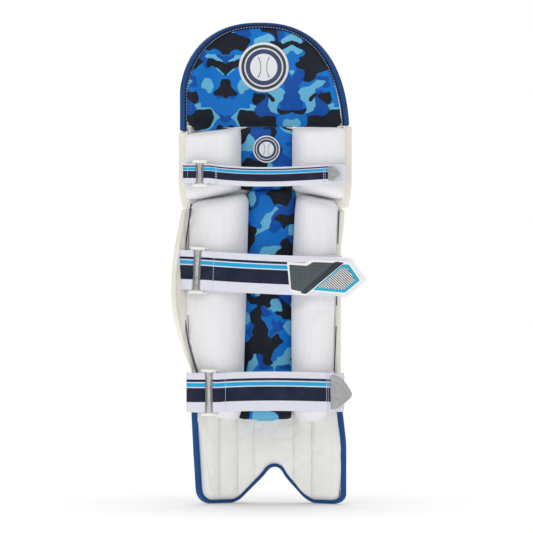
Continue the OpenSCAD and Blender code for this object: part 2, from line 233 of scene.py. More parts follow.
def plan(radius, t):
    """Point in plan at a radius, t degrees from the nose."""
    return radius * np.sin(np.radians(t)), centre_y + radius * np.cos(np.radians(t))


def edge_x(t):
    """X of the shin's outline at an angle: on its leg face near the nose, on its struck face at the sides."""
    side = np.clip((np.abs(t) - 28) / 18, 0, 1)
    side = side * side * (3 - 2 * side)
    return (shell_r - 0.5 * wall(t, shin_t, shin_wrap) * (1 - side)) * np.sin(np.radians(t))


def shin_side(z):
    """Angle of the shin's right edge at a height: it is cut in over the calf."""
    heights, sides = [51, 95, 138, 200, 374, 409, 449], [119, 118, 113, 111, 111, 115, 118]
    return np.degrees(np.arcsin(np.interp(z, heights, sides) / shell_r))


def ripple(x, y, z, size, seed=0.0):
    """Smooth folds of a size in millimetres, from -1 to 1."""
    return noise.noise(Vector((x / size + seed, y / size, z / size + seed * 1.7)))


ripples = np.vectorize(ripple)


def piece(name, verts, faces, sharp=60, marks=None):
    """A closed mesh from points in millimetres, facing outwards. Marks are values kept at its points."""
    mesh = bpy.data.meshes.new(name)
    mesh.from_pydata((np.array(verts, float) / 1000).tolist(), [], faces)
    for label, values in (marks or {}).items():
        kept = mesh.attributes.new(label, "FLOAT", "POINT")
        kept.data.foreach_set("value", np.ravel(values).astype(np.float32))
    work = bmesh.new()
    work.from_mesh(mesh)
    bmesh.ops.remove_doubles(work, verts=work.verts, dist=1e-6)
    bmesh.ops.recalc_face_normals(work, faces=work.faces)
    work.to_mesh(mesh)
    work.free()
    mesh.shade_smooth()
    mesh.set_sharp_from_angle(angle=math.radians(sharp))
    made = bpy.data.objects.new(name, mesh)
    bpy.context.scene.collection.objects.link(made)
    return made


def slab_faces(rows, cols):
    """Faces of a closed slab whose two grids of points follow each other."""
    def at(side, i, j):
        return side * rows * cols + i * cols + j
    faces = []
    for i in range(rows - 1):
        for j in range(cols - 1):
            faces.append((at(0, i, j), at(0, i, j + 1), at(0, i + 1, j + 1), at(0, i + 1, j)))
            faces.append((at(1, i, j), at(1, i + 1, j), at(1, i + 1, j + 1), at(1, i, j + 1)))
        for j, way in ((0, 1), (cols - 1, -1)):
            faces.append((at(0, i, j), at(0, i + 1, j), at(1, i + 1, j), at(1, i, j))[::way])
    for j in range(cols - 1):
        for i, way in ((0, -1), (rows - 1, 1)):
            faces.append((at(0, i, j), at(0, i, j + 1), at(1, i, j + 1), at(1, i, j))[::-way])
    return faces


def slab(name, front, back, sharp=60, marks=None):
    """A closed piece between two grids of points."""
    rows, cols = front.shape[:2]
    verts = np.concatenate([front.reshape(-1, 3), back.reshape(-1, 3)])
    return piece(name, verts, slab_faces(rows, cols), sharp, marks)


def smoother(made, level=1):
    """Subdivision of a finished piece."""
    step = made.modifiers.new("smooth", "SUBSURF")
    step.levels = step.render_levels = level


def crown(u, power, shape):
    """Height of a soft crown, 0 at both ends and 1 in the middle."""
    return (1 - np.abs(2 * u - 1) ** power) ** shape


coated_white, tree, shader = finish("coated_white", 0.42, specular=0.4)
here = place_on(tree)
cloudy = add(tree, "TexNoise", None, here, Scale=22, Detail=4)
grain = add(tree, "TexVoronoi", None, here, Scale=1400, Randomness=0.9)
dusty = stepped(tree, add(tree, "TexNoise", None, here, Scale=7, Detail=6, Roughness=0.7), 0.45, 0.8)
white = blended(tree, cloudy, tint(236, 236, 234), tint(228, 229, 227))
cover = blended(tree, sums(tree, "MULTIPLY", dusty, 0.25), white, tint(214, 211, 204))
tree.links.new(cover, shader.inputs["Base Color"])
tree.links.new(add(tree, "MapRange", None, cloudy, 0.3, 0.7, 0.36, 0.5), shader.inputs["Roughness"])
raised(tree, shader, grain, 0.00012, 0.6)
raised(tree, shader, add(tree, "TexNoise", None, here, Scale=90, Detail=2), 0.0004, 0.25)

roll_span = (shin_right - shin_left - 2 * edge_angle) / 7
groove_lines = []
for i in range(7):
    start = shin_left + edge_angle + i * roll_span
    u = np.linspace(0.01, 0.99, 17)
    t = start + roll_span * u
    v = np.linspace(0, 1, 46)[:, None]
    low = foot_z(edge_x(t), 7.5)
    z = low + (knee_z - 0.6 - low) * v
    if i == 6:
        t = start + (shin_side(z) - edge_angle - start) * u
    x = edge_x(t)
    ends = 3.5 * (1 - np.clip(np.minimum(z - low, knee_z - z) / 9, 0, 1)) ** 2
    radius = shell_r - 6.5 * (1 - np.sin(np.pi * u) ** 0.5) - ends
    radius = radius + 0.5 * ripples(x + 0 * z, 0 * z, z, 9, i) * (1 - 0.75 * np.sin(np.pi * u)) \
        + 0.7 * ripples(x + 0 * z, 0 * z, z, 45, i)
    front = np.stack([*plan(radius, t + 0 * z), z], -1)
    back = np.stack([*plan(shell_r - wall(t + 0 * z, shin_t, shin_wrap) + 8.2, t + 0 * z), z], -1)
    roll = slab(f"shin_roll_{i + 1}_padded", front, back)
    smoother(roll)
    roll.data.materials.append(coated_white)
    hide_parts(f"shin_roll_{i + 1}")
    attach(roll, "shin_guard")
    if i:
        z = np.arange(foot_z(edge_x(start), 10), knee_z - 4, 1.0)
        groove_lines.append(np.stack([*plan(shell_r - 5.6 + 0 * z, start + 0 * z), z], -1))


# ---- Thread ----
# Lock stitches of polyester thread, one short rounded stitch after another along each sewn line.
# One network of nodes lays them on every line of the pad, and the result is kept as plain mesh.
def stitch_network():
    """Stitches of a length and thickness at even steps along the edges of a mesh."""
    net = bpy.data.node_groups.new("stitches", "GeometryNodeTree")
    face = net.interface
    face.new_socket("Geometry", in_out="INPUT", socket_type="NodeSocketGeometry")
    for label in ("Step", "Length", "Thickness"):
        face.new_socket(label, in_out="INPUT", socket_type="NodeSocketFloat")
    face.new_socket("Thread", in_out="INPUT", socket_type="NodeSocketMaterial")
    face.new_socket("Geometry", in_out="OUTPUT", socket_type="NodeSocketGeometry")

    def put(kind, **settings):
        made = net.nodes.new(kind)
        for key, value in settings.items():
            setattr(made, key, value)
        return made
    given, result = put("NodeGroupInput"), put("NodeGroupOutput")
    line = put("GeometryNodeMeshToCurve")
    spaced = put("GeometryNodeCurveToPoints", mode="LENGTH")
    stitch = put("GeometryNodeMeshCylinder")
    stitch.inputs["Vertices"].default_value = 5
    laid, real, coloured = (put("GeometryNodeInstanceOnPoints"), put("GeometryNodeRealizeInstances"),
                            put("GeometryNodeSetMaterial"))
    for out, into in ((given.outputs["Geometry"], line.inputs["Mesh"]),
                      (line.outputs[0], spaced.inputs["Curve"]),
                      (given.outputs["Step"], spaced.inputs["Length"]),
                      (spaced.outputs["Points"], laid.inputs["Points"]),
                      (spaced.outputs["Rotation"], laid.inputs["Rotation"]),
                      (given.outputs["Length"], stitch.inputs["Depth"]),
                      (given.outputs["Thickness"], stitch.inputs["Radius"]),
                      (stitch.outputs["Mesh"], laid.inputs["Instance"]),
                      (laid.outputs[0], real.inputs[0]),
                      (real.outputs[0], coloured.inputs["Geometry"]),
                      (given.outputs["Thread"], coloured.inputs["Material"]),
                      (coloured.outputs[0], result.inputs[0])):
        net.links.new(out, into)
    return net


stitches = stitch_network()


def sewn(name, lines, thread, step=3.6, length=2.5, thickness=0.42):
    """Stitches along lines of points in millimetres, as one plain mesh."""
    verts = np.concatenate(lines) / 1000
    edges, first = [], 0
    for line in lines:
        edges += [(first + k, first + k + 1) for k in range(len(line) - 1)]
        first += len(line)
    guide_mesh = bpy.data.meshes.new(name + "_line")
    guide_mesh.from_pydata(verts.tolist(), edges, [])
    guide = bpy.data.objects.new(name + "_line", guide_mesh)
    bpy.context.scene.collection.objects.link(guide)
    laid = guide.modifiers.new("stitches", "NODES")
    laid.node_group = stitches
    sizes = {"Step": step / 1000, "Length": length / 1000, "Thickness": thickness / 1000, "Thread": thread}
    for socket in stitches.interface.items_tree:
        if socket.in_out == "INPUT" and socket.name in sizes:
            laid[socket.identifier] = sizes[socket.name]
    ready = guide.evaluated_get(bpy.context.evaluated_depsgraph_get())
    mesh = bpy.data.meshes.new_from_object(ready)
    bpy.data.objects.remove(guide)
    mesh.name = name
    mesh.shade_smooth()
    made = bpy.data.objects.new(name, mesh)
    bpy.context.scene.collection.objects.link(made)
    return made


def thread_finish(name, colour, other):
    """Twisted thread: fine bands across a slightly glossy fibre."""
    made, tree, shader = finish(name, 0.5, sheen=0.2)
    here = place_on(tree)
    ply = add(tree, "TexWave", {"bands_direction": "DIAGONAL"}, here, Scale=500, Distortion=2)
    tree.links.new(blended(tree, ply, colour, other), shader.inputs["Base Color"])
    raised(tree, shader, ply, 0.0001, 0.5)
    return made


white_thread = thread_finish("white_thread", tint(244, 243, 238), tint(205, 204, 198))
groove_stitches = sewn("shin_groove_stitches", groove_lines, white_thread, 5, 3.4, 0.5)
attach(groove_stitches, "shin_guard")


# ---- Canes and knee board ----
# Split canes stand behind each shin roll in sewn pockets, and a pressed board backs the knee. They
# are closed in between the foam and the lining, and show only where a cover is lifted.
cane_finish, tree, shader = finish("split_cane", 0.5)
here = place_on(tree)
long_way = add(tree, "Mapping", None, here, Scale=(1, 1, 0.03))
fibre = add(tree, "TexNoise", None, long_way, Scale=900, Detail=5, Roughness=0.7)
tree.links.new(blended(tree, fibre, tint(196, 160, 104), tint(228, 202, 150)), shader.inputs["Base Color"])
raised(tree, shader, fibre, 0.0003, 0.6)
board_finish, tree, shader = finish("pressed_board", 0.8)
here = place_on(tree)
flecks = add(tree, "TexVoronoi", None, here, Scale=420)
tree.links.new(blended(tree, flecks, tint(178, 158, 128), tint(206, 190, 160)), shader.inputs["Base Color"])
raised(tree, shader, flecks, 0.0003, 0.5)
board_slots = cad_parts["knee_backing"].data.materials
for k in range(len(board_slots)):
    board_slots[k] = board_finish


def bundle(name, parts):
    """Several meshes made into one object."""
    work = bmesh.new()
    for part in parts:
        work.from_mesh(part.data)
        bpy.data.objects.remove(part)
    mesh = bpy.data.meshes.new(name)
    work.to_mesh(mesh)
    work.free()
    mesh.shade_smooth()
    mesh.set_sharp_from_angle(angle=math.radians(60))
    made = bpy.data.objects.new(name, mesh)
    bpy.context.scene.collection.objects.link(made)
    return made


def tube(name, rings, sharp=60, marks=None):
    """A closed mesh through rings of points, flat at both ends."""
    n, m = rings.shape[:2]
    faces = [(i * m + j, i * m + (j + 1) % m, (i + 1) * m + (j + 1) % m, (i + 1) * m + j)
             for i in range(n - 1) for j in range(m)]
    faces += [tuple(range(m)), tuple(range((n - 1) * m, n * m))]
    return piece(name, rings.reshape(-1, 3), faces, sharp, marks)


def cord_along(name, line, radius, sides=8):
    """A thin round cord or rod through points."""
    run = np.gradient(line, axis=0)
    run /= np.linalg.norm(run, axis=1)[:, None]
    side = np.cross(run, [0.05, 1, 0.02])
    side /= np.linalg.norm(side, axis=1)[:, None]
    up = np.cross(side, run)
    a = np.linspace(0, 2 * np.pi, sides, endpoint=False)
    round_it = side[:, None] * np.cos(a)[None, :, None] + up[:, None] * np.sin(a)[None, :, None]
    return tube(name, line[:, None] + radius * round_it, 80)


rods = []
cane_shares = (np.arange(7)[:, None] + np.array([0.25, 0.5, 0.75])).ravel()[1:-1]
for t in shin_left + edge_angle + roll_span * cane_shares:
    foot = max(foot_z(edge_x(t), 34), 40)
    z = np.linspace(foot, knee_z - 5, 14)
    bowed_out = 0.25 * ripples(t + 0 * z, 0 * z, z, 120, t)
    radius = shell_r - wall(t, shin_t, shin_wrap) + 5.7 + bowed_out
    rods.append(cord_along("cane", np.stack([*plan(radius, t + 0 * z), z], 1), 2.1, 10))
canes = bundle("split_canes", rods)
canes.data.materials.append(cane_finish)
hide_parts("cane_rods")
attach(canes, "shin_guard")


# ---- Shin lining ----
# White coated cloth over thin foam lines the leg side of the shin. It is quilted into upright
# channels above the foot, creased where the foot bends it, and thins towards the bound edge.
angles = np.linspace(shin_left, shin_right, 400)
channel_seams = [-95, -69, -42.5, -18, 39.6, 66.6, 92]


def angle_at(x):
    """Angle from the nose where the shin's outline is at x."""
    return np.interp(x, edge_x(angles), angles)


def thinned(thickness, inside):
    """A wall's thickness at a distance inside its rim, half as thick at the rim itself."""
    return thickness * (1 - 0.5 * (1 - np.clip(inside / 9, 0, 1)) ** 2)


lining_white, tree, shader = finish("lining_white", 0.36, specular=0.45)
here = place_on(tree)
cloudy = add(tree, "TexNoise", None, here, Scale=16, Detail=5, Roughness=0.6)
tree.links.new(blended(tree, cloudy, tint(228, 229, 224), tint(240, 241, 238)), shader.inputs["Base Color"])
stretched = add(tree, "Mapping", None, here, Rotation=(0, math.radians(35), 0), Scale=(1, 1, 0.35))
raised(tree, shader, add(tree, "TexVoronoi", None, here, Scale=1500), 0.0001, 0.5)
raised(tree, shader, add(tree, "TexNoise", None, stretched, Scale=60, Detail=3, Roughness=0.6), 0.0012, 0.45)
raised(tree, shader, add(tree, "TexNoise", None, here, Scale=150, Detail=2), 0.0005, 0.3)

u = np.linspace(0, 1, 131)[None, :]
t = shin_left + 1.6 + (shin_right - shin_left - 3.2) * u
v = np.linspace(0, 1, 110)[:, None] ** 1.25
low = foot_z(edge_x(t), 5.5)
z = low + (knee_z - 0.6 - low) * v
t = shin_left + 1.6 + (np.minimum(shin_side(z), shin_right) - shin_left - 3.2) * u
inside = np.minimum(np.minimum(t - shin_left, shin_side(z) - t) * 2.6, z - low + 5.5) - 6
depth = thinned(wall(t, shin_t, shin_wrap) + 0 * z, inside)
x = plan(shell_r - depth, t + 0 * z)[0]
cell = np.clip(np.searchsorted(channel_seams, x.ravel()).reshape(x.shape), 1, len(channel_seams) - 1)
edges = np.array(channel_seams)
share = np.clip((x - edges[cell - 1]) / (edges[cell] - edges[cell - 1]), 0, 1)
quilted = 1 - np.clip((z - 150) / 30, 0, 1)
puff = 3.6 * np.clip(np.sin(np.pi * share), 0, 1) ** 0.55 * quilted * np.clip(inside / 12, 0, 1) ** 0.5
folds = 1 - np.abs(ripples(x + 0.5 * z, 0 * z, z - 0.35 * x, 26, 3.3)) * 2
folds = 1.3 * np.clip(folds, 0, 1) ** 3 * quilted + 0.5 * ripples(x, 0 * z, z, 11, 6) * quilted
radius = shell_r - depth - puff + folds - 0.2
front = np.stack([*plan(radius, t + 0 * z), z], -1)
back = np.stack([*plan(shell_r - depth + 2.6, t + 0 * z), z], -1)
lining = slab("shin_lining_cloth", front, back, 75)
lining.data.materials.append(lining_white)
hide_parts("shin_lining")
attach(lining, "shin_guard")

seam_lines = []
for x in channel_seams[1:-1]:
    at = angle_at(x)
    z = np.arange(foot_z(x, 9), 150, 1.0)
    d = thinned(wall(at, shin_t, shin_wrap) + 0 * z, z - foot_z(x, 0) - 6)
    seam_lines.append(np.stack([*plan(shell_r - d - 0.3, np.degrees(np.arcsin(x / (shell_r - d)))), z], -1))
lining_stitches = sewn("lining_channel_stitches", seam_lines, white_thread, 3.4, 2.3, 0.4)
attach(lining_stitches, "shin_guard")


# ---- Instep binding ----
# A blue woven tape is folded over the whole lower edge, from one side of the ankle round both toes
# and the instep arch to the other side. Navy cord lies along its inner edge under white stitches.
bind_w = 8.0
binding_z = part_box("instep_binding")[1].z * 1000


def power(values, shape):
    """A signed power, which squares off a round section."""
    return np.sign(values) * np.abs(values) ** shape


def tape(name, near, far, inward, width, square=0.55, wave=0.5, seed=0.0):
    """A tape folded over an edge: near and far are its rims on the leg side and the struck side."""
    a = np.linspace(0, 2 * np.pi, 24, endpoint=False)[None, :]
    run = np.r_[0, np.cumsum(np.linalg.norm(np.diff(near, axis=0), axis=1))][:, None]
    pucker = wave * ripples(run + 0 * a, np.cos(a) * 4 + 0 * run, np.sin(a) * 4 + 0 * run, 7, seed)
    s = 0.5 * (1 + power(np.cos(a), square))
    c = 0.5 * (1 + power(np.sin(a), square))
    over, in_by = (far - near)[:, None], (s * (width + pucker))[..., None]
    rings = near[:, None] + over * c[..., None] + inward[:, None] * in_by
    rings = rings - over / np.linalg.norm(over, axis=2)[..., None] * (0.35 * pucker * (1 - 2 * c))[..., None]
    return tube(name, rings, 60, {"fold": s + 0 * run, "across": c + 0 * run, "run": run + 0 * a})


def mark(tree, label):
    """A value kept at a piece's points."""
    return add(tree, "Attribute", {"attribute_name": label}).node.outputs["Fac"]


def binding_finish(name, colour, dark, inner=None, inner_from=0.62):
    """Woven tape with fine ribs and darker rubbed patches. Its inner part may have its own colour."""
    made, tree, shader = finish(name, 0.45, sheen=0.0, specular=0.25)
    here = place_on(tree)
    ribs = sums(tree, "SINE", sums(tree, "MULTIPLY", mark(tree, "run"), 9.0))
    cloudy = add(tree, "TexNoise", None, here, Scale=55, Detail=4)
    cover = blended(tree, cloudy, colour, dark)
    if inner:
        inside = stepped(tree, mark(tree, "fold"), inner_from - 0.02, inner_from + 0.02)
        cover = blended(tree, inside, cover, inner)
    tree.links.new(cover, shader.inputs["Base Color"])
    raised(tree, shader, ribs, 0.00015, 0.5)
    raised(tree, shader, cloudy, 0.0008, 0.35)
    return made


blue_binding = binding_finish("blue_binding", tint(8, 82, 148), tint(6, 60, 114))
navy_cord = thread_finish("navy_cord", tint(22, 36, 66), tint(12, 22, 46))
foot_path = even([(edge_x(shin_left), binding_z)] + shin_foot[1:-1] + [(112.8, binding_z)], 3.2, 2)
t = np.clip(angle_at(foot_path[:, 0]), shin_left + 0.3, shin_right - 0.3)
flat = left_of(foot_path)
inward = np.stack([flat[:, 0] * np.cos(np.radians(t)), -flat[:, 0] * np.sin(np.radians(t)), flat[:, 1]], 1)
rim = 0.5 * wall(t, shin_t, shin_wrap)
near = np.stack([*plan(shell_r - rim - 1.2, t), foot_path[:, 1]], 1)
far = np.stack([*plan(shell_r - 0.6 + 0 * t, t), foot_path[:, 1]], 1)
foot_binding = tape("instep_binding_tape", near, far, inward, bind_w)
smoother(foot_binding)
foot_binding.data.materials.append(blue_binding)
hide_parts("instep_binding")
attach(foot_binding, "shin_guard")
inner_line = near + inward * (bind_w + 0.4) + np.array([0, 0.6, 0])
foot_cord = cord_along("instep_binding_cord", inner_line, 1.0)
foot_cord.data.materials.append(navy_cord)
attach(foot_cord, "shin_guard")
pale_thread = thread_finish("pale_thread", tint(214, 226, 240), tint(166, 184, 210))
foot_seam = near + inward * 6.2 - np.array([0, 0.65, 0])
foot_stitches = sewn("instep_binding_stitches", [foot_seam], pale_thread, 3.4, 2.1, 0.5)
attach(foot_stitches, "shin_guard")


# ---- Shin side edges ----
# Above the blue tape each side of the shin is closed by an edge of cream coated cloth, rolled over
# the foam and sewn down, with a thin piped bead along its seam on the leg side.
def cream_finish(name, colour, dark):
    """Coated cream cloth with a soft grain, greyer in soft patches that wander at random."""
    made, tree, shader = finish(name, 0.45, specular=0.4)
    here = place_on(tree)
    cloudy = add(tree, "TexNoise", None, here, Scale=18, Detail=5)
    tree.links.new(blended(tree, stepped(tree, cloudy, 0.3, 0.75), colour, dark), shader.inputs["Base Color"])
    raised(tree, shader, add(tree, "TexVoronoi", None, here, Scale=1300), 0.0001, 0.5)
    long_way = add(tree, "Mapping", None, here, Scale=(1, 1, 0.25))
    raised(tree, shader, add(tree, "TexNoise", None, long_way, Scale=80, Detail=2), 0.0009, 0.4)
    return made


cream = cream_finish("cream_cloth", tint(236, 232, 222), tint(222, 217, 206))
for side, t_edge, way in (("left", shin_left, 1), ("right", shin_right, -1)):
    z = np.arange(binding_z + 0.3, knee_z - 0.5, 5.0)
    t = shin_side(z) - 0.2 if side == "right" else np.full_like(z, t_edge + 0.2)
    rim = 0.5 * wall(t, shin_t, shin_wrap)
    near = np.stack([*plan(shell_r - rim - 2.5, t), z], 1)
    far = np.stack([*plan(shell_r - 0.2 + 0 * t, t), z], 1)
    inward = np.stack([way * np.cos(np.radians(t)), -way * np.sin(np.radians(t)), 0 * z], 1)
    edge = tape(f"shin_side_edge_{side}", near, far, inward, 7.2, square=0.7, seed=way)
    smoother(edge)
    edge.data.materials.append(cream)
    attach(edge, "shin_guard")
    bead = cord_along(f"shin_side_piping_{side}", near + inward * 7.4, 1.3)
    bead.data.materials.append(cream)
    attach(bead, "shin_guard")
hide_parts("shin_side_edges")


# ---- Knee rolls ----
# Three foam rolls run round the front of the knee, one above another, each in its own tube of white
# coated cloth. They stand proud of the shin and wrinkle lightly along the seams between them.
knee_left, knee_right, hat_z = -60.0, 57.5, 555.0
knee_t, knee_wrap = 29.0, 60
for k, label in enumerate(("lower", "middle", "upper")):
    node = f"knee_roll_{label}"
    low, high = (corner.z * 1000 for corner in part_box(node))
    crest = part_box(node)[1].y * 1000 - centre_y
    t = np.linspace(knee_left + edge_angle + 0.3, knee_right - edge_angle - 0.3, 75)[None, :]
    a = np.linspace(-90, 90, 15)[:, None]
    z = low + (high - low) * 0.5 * (1 + np.sin(np.radians(a))) + 0 * t
    ends = 1 - 0.5 * np.clip(1 - np.minimum(t - knee_left - 3, knee_right - 3 - t) / 6, 0, 1) ** 2
    radius = crest - 12 * (1 - np.cos(np.radians(a)) ** 0.8 * ends)
    seam = np.abs(np.sin(np.radians(a)))
    radius = radius + ripples(t * 2.4 + 0 * a, 0 * t * a, z, 9, k + 20) * (0.3 + seam ** 2) \
        + 0.8 * ripples(t * 2.4 + 0 * a, 0 * t * a, z, 38, k + 30)
    front = np.stack([*plan(radius, t + 0 * a), z], -1)
    back = np.stack([*plan(137.4 + 0 * radius, t + 0 * a), z], -1)
    roll = slab(f"{node}_padded", front, back)
    smoother(roll)
    roll.data.materials.append(coated_white)
    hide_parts(node)
    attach(roll, "shin_guard")
t = np.linspace(knee_left + 4, knee_right - 4, 300)
knee_seams = []
for label in ("lower", "middle"):
    seam_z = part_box(f"knee_roll_{label}")[1].z * 1000 + 0.3
    knee_seams.append(np.stack([*plan(144.5 + 0 * t, t), seam_z + 0 * t], -1))
knee_stitches = sewn("knee_roll_stitches", knee_seams, white_thread, 4.5, 3.0, 0.5)
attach(knee_stitches, "shin_guard")


# ---- Knee lining ----
# Thin white coated cloth covers the knee board on the leg side, and the knee cushions are sewn to it.
t = np.linspace(knee_left + 2.4, knee_right - 2.4, 60)[None, :]
z = np.linspace(knee_z - 1, hat_z - 1.5, 24)[:, None]
creased = 0.25 * ripples(2.4 * t + 0 * z, 0 * t * z, z + 0 * t, 18, 40)
inner = shell_r - wall(t + 0 * z, knee_t, knee_wrap) - 0.9 + creased
front = np.stack([*plan(inner, t + 0 * z), z + 0 * t], -1)
back = np.stack([*plan(inner + 0.8, t + 0 * z), z + 0 * t], -1)
knee_lining = slab("knee_lining_cloth", front, back, 75)
knee_lining.data.materials.append(lining_white)
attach(knee_lining, "shin_guard")


# ---- Knee side edges ----
# The same cream cloth closes both sides of the knee. Each edge is a flat strap of cloth over foam
# with a piped bead on the leg side, where the knee pad is sewn to it.
for side, t_edge, way in (("left", knee_left, 1), ("right", knee_right, -1)):
    z = np.linspace(knee_z - 2.6, hat_z - (9.6 if side == "left" else 0.6), 27)
    t = t_edge + 0.2 * way + way * 3.4 * np.clip((476 - z) / 40, 0, 1) ** 2
    near = np.stack([*plan(135.2 + 0 * t, t), z], 1)
    far = np.stack([*plan(149.6 + 0 * t, t), z], 1)
    inward = np.stack([way * np.cos(np.radians(t)), -way * np.sin(np.radians(t)), 0 * z], 1)
    edge = tape(f"knee_side_edge_{side}", near, far, inward, 7.2, square=0.6, seed=3 + way)
    smoother(edge)
    edge.data.materials.append(cream)
    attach(edge, "shin_guard")
    bead = cord_along(f"knee_side_piping_{side}", near + inward * 1.0 + np.array([0, -1.6, 0]), 1.7)
    bead.data.materials.append(cream)
    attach(bead, "shin_guard")
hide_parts("knee_side_edges")


# ---- Calf bolsters ----
# Two tall cushions of white spacer mesh over foam lie on the lining, either side of a channel, and
# are sewn down round their edges with navy piping. They are filled tight, and their ends roll over.
crest_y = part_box("calf_bolster_right")[0].y * 1000
bolster_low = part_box("calf_bolster_right")[0].z * 1000


def leg_face(x, z=None):
    """Y of the leg face of the walls at x, where cushions are sewn on."""
    t = np.degrees(np.arcsin(np.clip(x / 122, -1, 1)))
    for _ in range(14):
        inner = shell_r - np.maximum(wall(t, shin_t, shin_wrap), wall(t, knee_t, knee_wrap))
        t = np.degrees(np.arcsin(np.clip(x / inner, -1, 1)))
    return centre_y + inner * np.cos(np.radians(t)) - 1.3


def spacer_mesh_finish(name, colour, dark):
    """Knitted spacer mesh: rows of small open cells with painted shade in them, soft and slightly fluffy."""
    made, tree, shader = finish(name, 0.85, sheen=0.3, specular=0.2)
    here = place_on(tree)
    cloudy = add(tree, "TexNoise", None, here, Scale=14, Detail=4)
    squeezed = add(tree, "Mapping", None, here, Scale=(1, 1, 0.62))
    cells = add(tree, "TexVoronoi", None, squeezed, Scale=430, Randomness=0.2)
    shaded_open_cells = sums(tree, "SUBTRACT", 1.0, stepped(tree, cells, 0.1, 0.42))
    cover = blended(tree, cloudy, colour, dark)
    # Painted shade: the open cells, which the relief below sinks as holes, are greyed
    cover = blended(tree, sums(tree, "MULTIPLY", shaded_open_cells, 0.4), cover, tint(206, 208, 214))
    tree.links.new(cover, shader.inputs["Base Color"])
    raised(tree, shader, sums(tree, "SUBTRACT", 1.0, shaded_open_cells), 0.00035, 0.55)
    raised(tree, shader, add(tree, "TexNoise", None, here, Scale=34, Detail=2), 0.0015, 0.35)
    return made


def stuffed(made, voxel, cap, held):
    """Fills a pad: pressed out from inside as cloth, held where it is sewn, no point moving past the cap."""
    close = made.modifiers.new("close", "REMESH")
    close.mode = "VOXEL"
    close.voxel_size = voxel / 1000
    ready = made.evaluated_get(bpy.context.evaluated_depsgraph_get())
    mesh = bpy.data.meshes.new_from_object(ready)
    made.modifiers.remove(close)
    made.data = mesh
    start = np.zeros(len(mesh.vertices) * 3)
    mesh.vertices.foreach_get("co", start)
    start = start.reshape(-1, 3)
    sewn_down = made.vertex_groups.new(name="sewn_down")
    sewn_down.add(np.nonzero(held(start * 1000))[0].tolist(), 1.0, "REPLACE")
    cloth = made.modifiers.new("cloth", "CLOTH")
    cloth.settings.use_pressure = True
    cloth.settings.uniform_pressure_force = 4
    cloth.settings.effector_weights.gravity = 0
    cloth.settings.vertex_group_mass = "sewn_down"
    cloth.settings.bending_stiffness = 0.8
    for step in range(1, 21):
        bpy.context.scene.frame_set(step)
    ready = made.evaluated_get(bpy.context.evaluated_depsgraph_get())
    moved = np.zeros(len(ready.data.vertices) * 3)
    ready.data.vertices.foreach_get("co", moved)
    made.modifiers.remove(cloth)
    made.vertex_groups.clear()
    bpy.context.scene.frame_set(1)
    shift = moved.reshape(-1, 3) - start
    far = np.linalg.norm(shift, axis=1)[:, None]
    shift *= cap / 1000 / np.maximum(far, cap / 1000)
    mesh.vertices.foreach_set("co", (start + shift).ravel())
    work = bmesh.new()
    work.from_mesh(mesh)
    for _ in range(2):
        bmesh.ops.smooth_vert(work, verts=work.verts, factor=0.5,
                              use_axis_x=True, use_axis_y=True, use_axis_z=True)
    bmesh.ops.recalc_face_normals(work, faces=work.faces)
    work.to_mesh(mesh)
    work.free()
    mesh.shade_smooth()
    mesh.name = made.name
    smoother(made)


def cushion(name, low, high, x_left, x_right, crest, base=leg_face, ends=(26, 18), shape=0.5):
    """A crowned cushion between two upright edges and two lines over its width, with rounded ends."""
    v = np.linspace(0, 1, 60)[:, None]
    u = np.linspace(0, 1, 30)[None, :]
    z = low(u) + (high(u) - low(u)) * v
    x = x_left(z) + (x_right(z) - x_left(z)) * u
    down = base(x, z)
    round_end = np.clip((z - low(u)) / ends[0], 0, 1), np.clip((high(u) - z) / ends[1], 0, 1)
    rise = np.sqrt(1 - (1 - round_end[0]) ** 2) * np.sqrt(1 - (1 - round_end[1]) ** 2)
    y = down + (crest - down) * crown(u, 3.2, shape) * rise
    y = y + 0.8 * ripples(x, y, z, 30, abs(crest)) * rise
    front = np.stack([x, np.minimum(y, down - 0.6), z], -1)
    back = np.stack([x, down, z], -1)
    return slab(name, front, back)


spacer_mesh = spacer_mesh_finish("spacer_mesh", tint(238, 238, 240), tint(230, 230, 233))


def on_wing(x, z):
    """Y behind the left bolster: the shin's leg face, then the inner face of the wing."""
    corner_x, slope = -101.4, 2.667
    wing_face = np.maximum(3.4 - slope * (corner_x - x), -33.5)
    return np.where((x < corner_x) & (z > 180), wing_face, leg_face(np.maximum(x, corner_x)))


left_bolster = cushion(
    "calf_bolster_left_padded",
    lambda u: bolster_low - 3 + 9 * np.clip(0.55 - u, 0, 1) ** 1.5 + 3 * np.clip(u - 0.8, 0, 1),
    lambda u: 446 + 13 * u - 14 * np.clip(0.12 - u, 0, 1) - 20 * np.clip(u - 0.85, 0, 1) ** 1.2,
    lambda z: np.interp(z, [126, 140, 198, 240, 280, 330, 380, 441, 458],
                        [-77, -84, -101.5, -114, -120.5, -122.5, -118, -109.5, -108]),
    lambda z: np.interp(z, [126, 140, 290, 430, 448, 460], [-40, -35, -30.5, -26, -25, -30]),
    crest_y + 4.5, on_wing)
stuffed(left_bolster, 4.5, 5, lambda p: p[:, 1] > on_wing(p[:, 0], p[:, 2]) - 3)
right_bolster = cushion(
    "calf_bolster_right_padded",
    lambda u: bolster_low - 6 + 5 * np.clip(u - 0.6, 0, 1) + 4 * np.clip(0.2 - u, 0, 1),
    lambda u: 459 - 13 * u - 24 * np.clip(0.15 - u, 0, 1),
    lambda z: np.interp(z, [126, 140, 290, 430, 448, 460], [43, 37, 38.5, 41, 42, 47]),
    lambda z: np.interp(z, [126, 134, 150, 196, 300, 441, 460], [86, 91, 93.5, 96, 100.5, 104.5, 104.5]),
    crest_y + 4.5)
stuffed(right_bolster, 4.5, 5, lambda p: p[:, 1] > leg_face(p[:, 0]) - 3)
for pad, node in ((left_bolster, "calf_bolster_left"), (right_bolster, "calf_bolster_right")):
    pad.data.materials.append(spacer_mesh)
    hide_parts(node)
    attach(pad, "shin_guard")

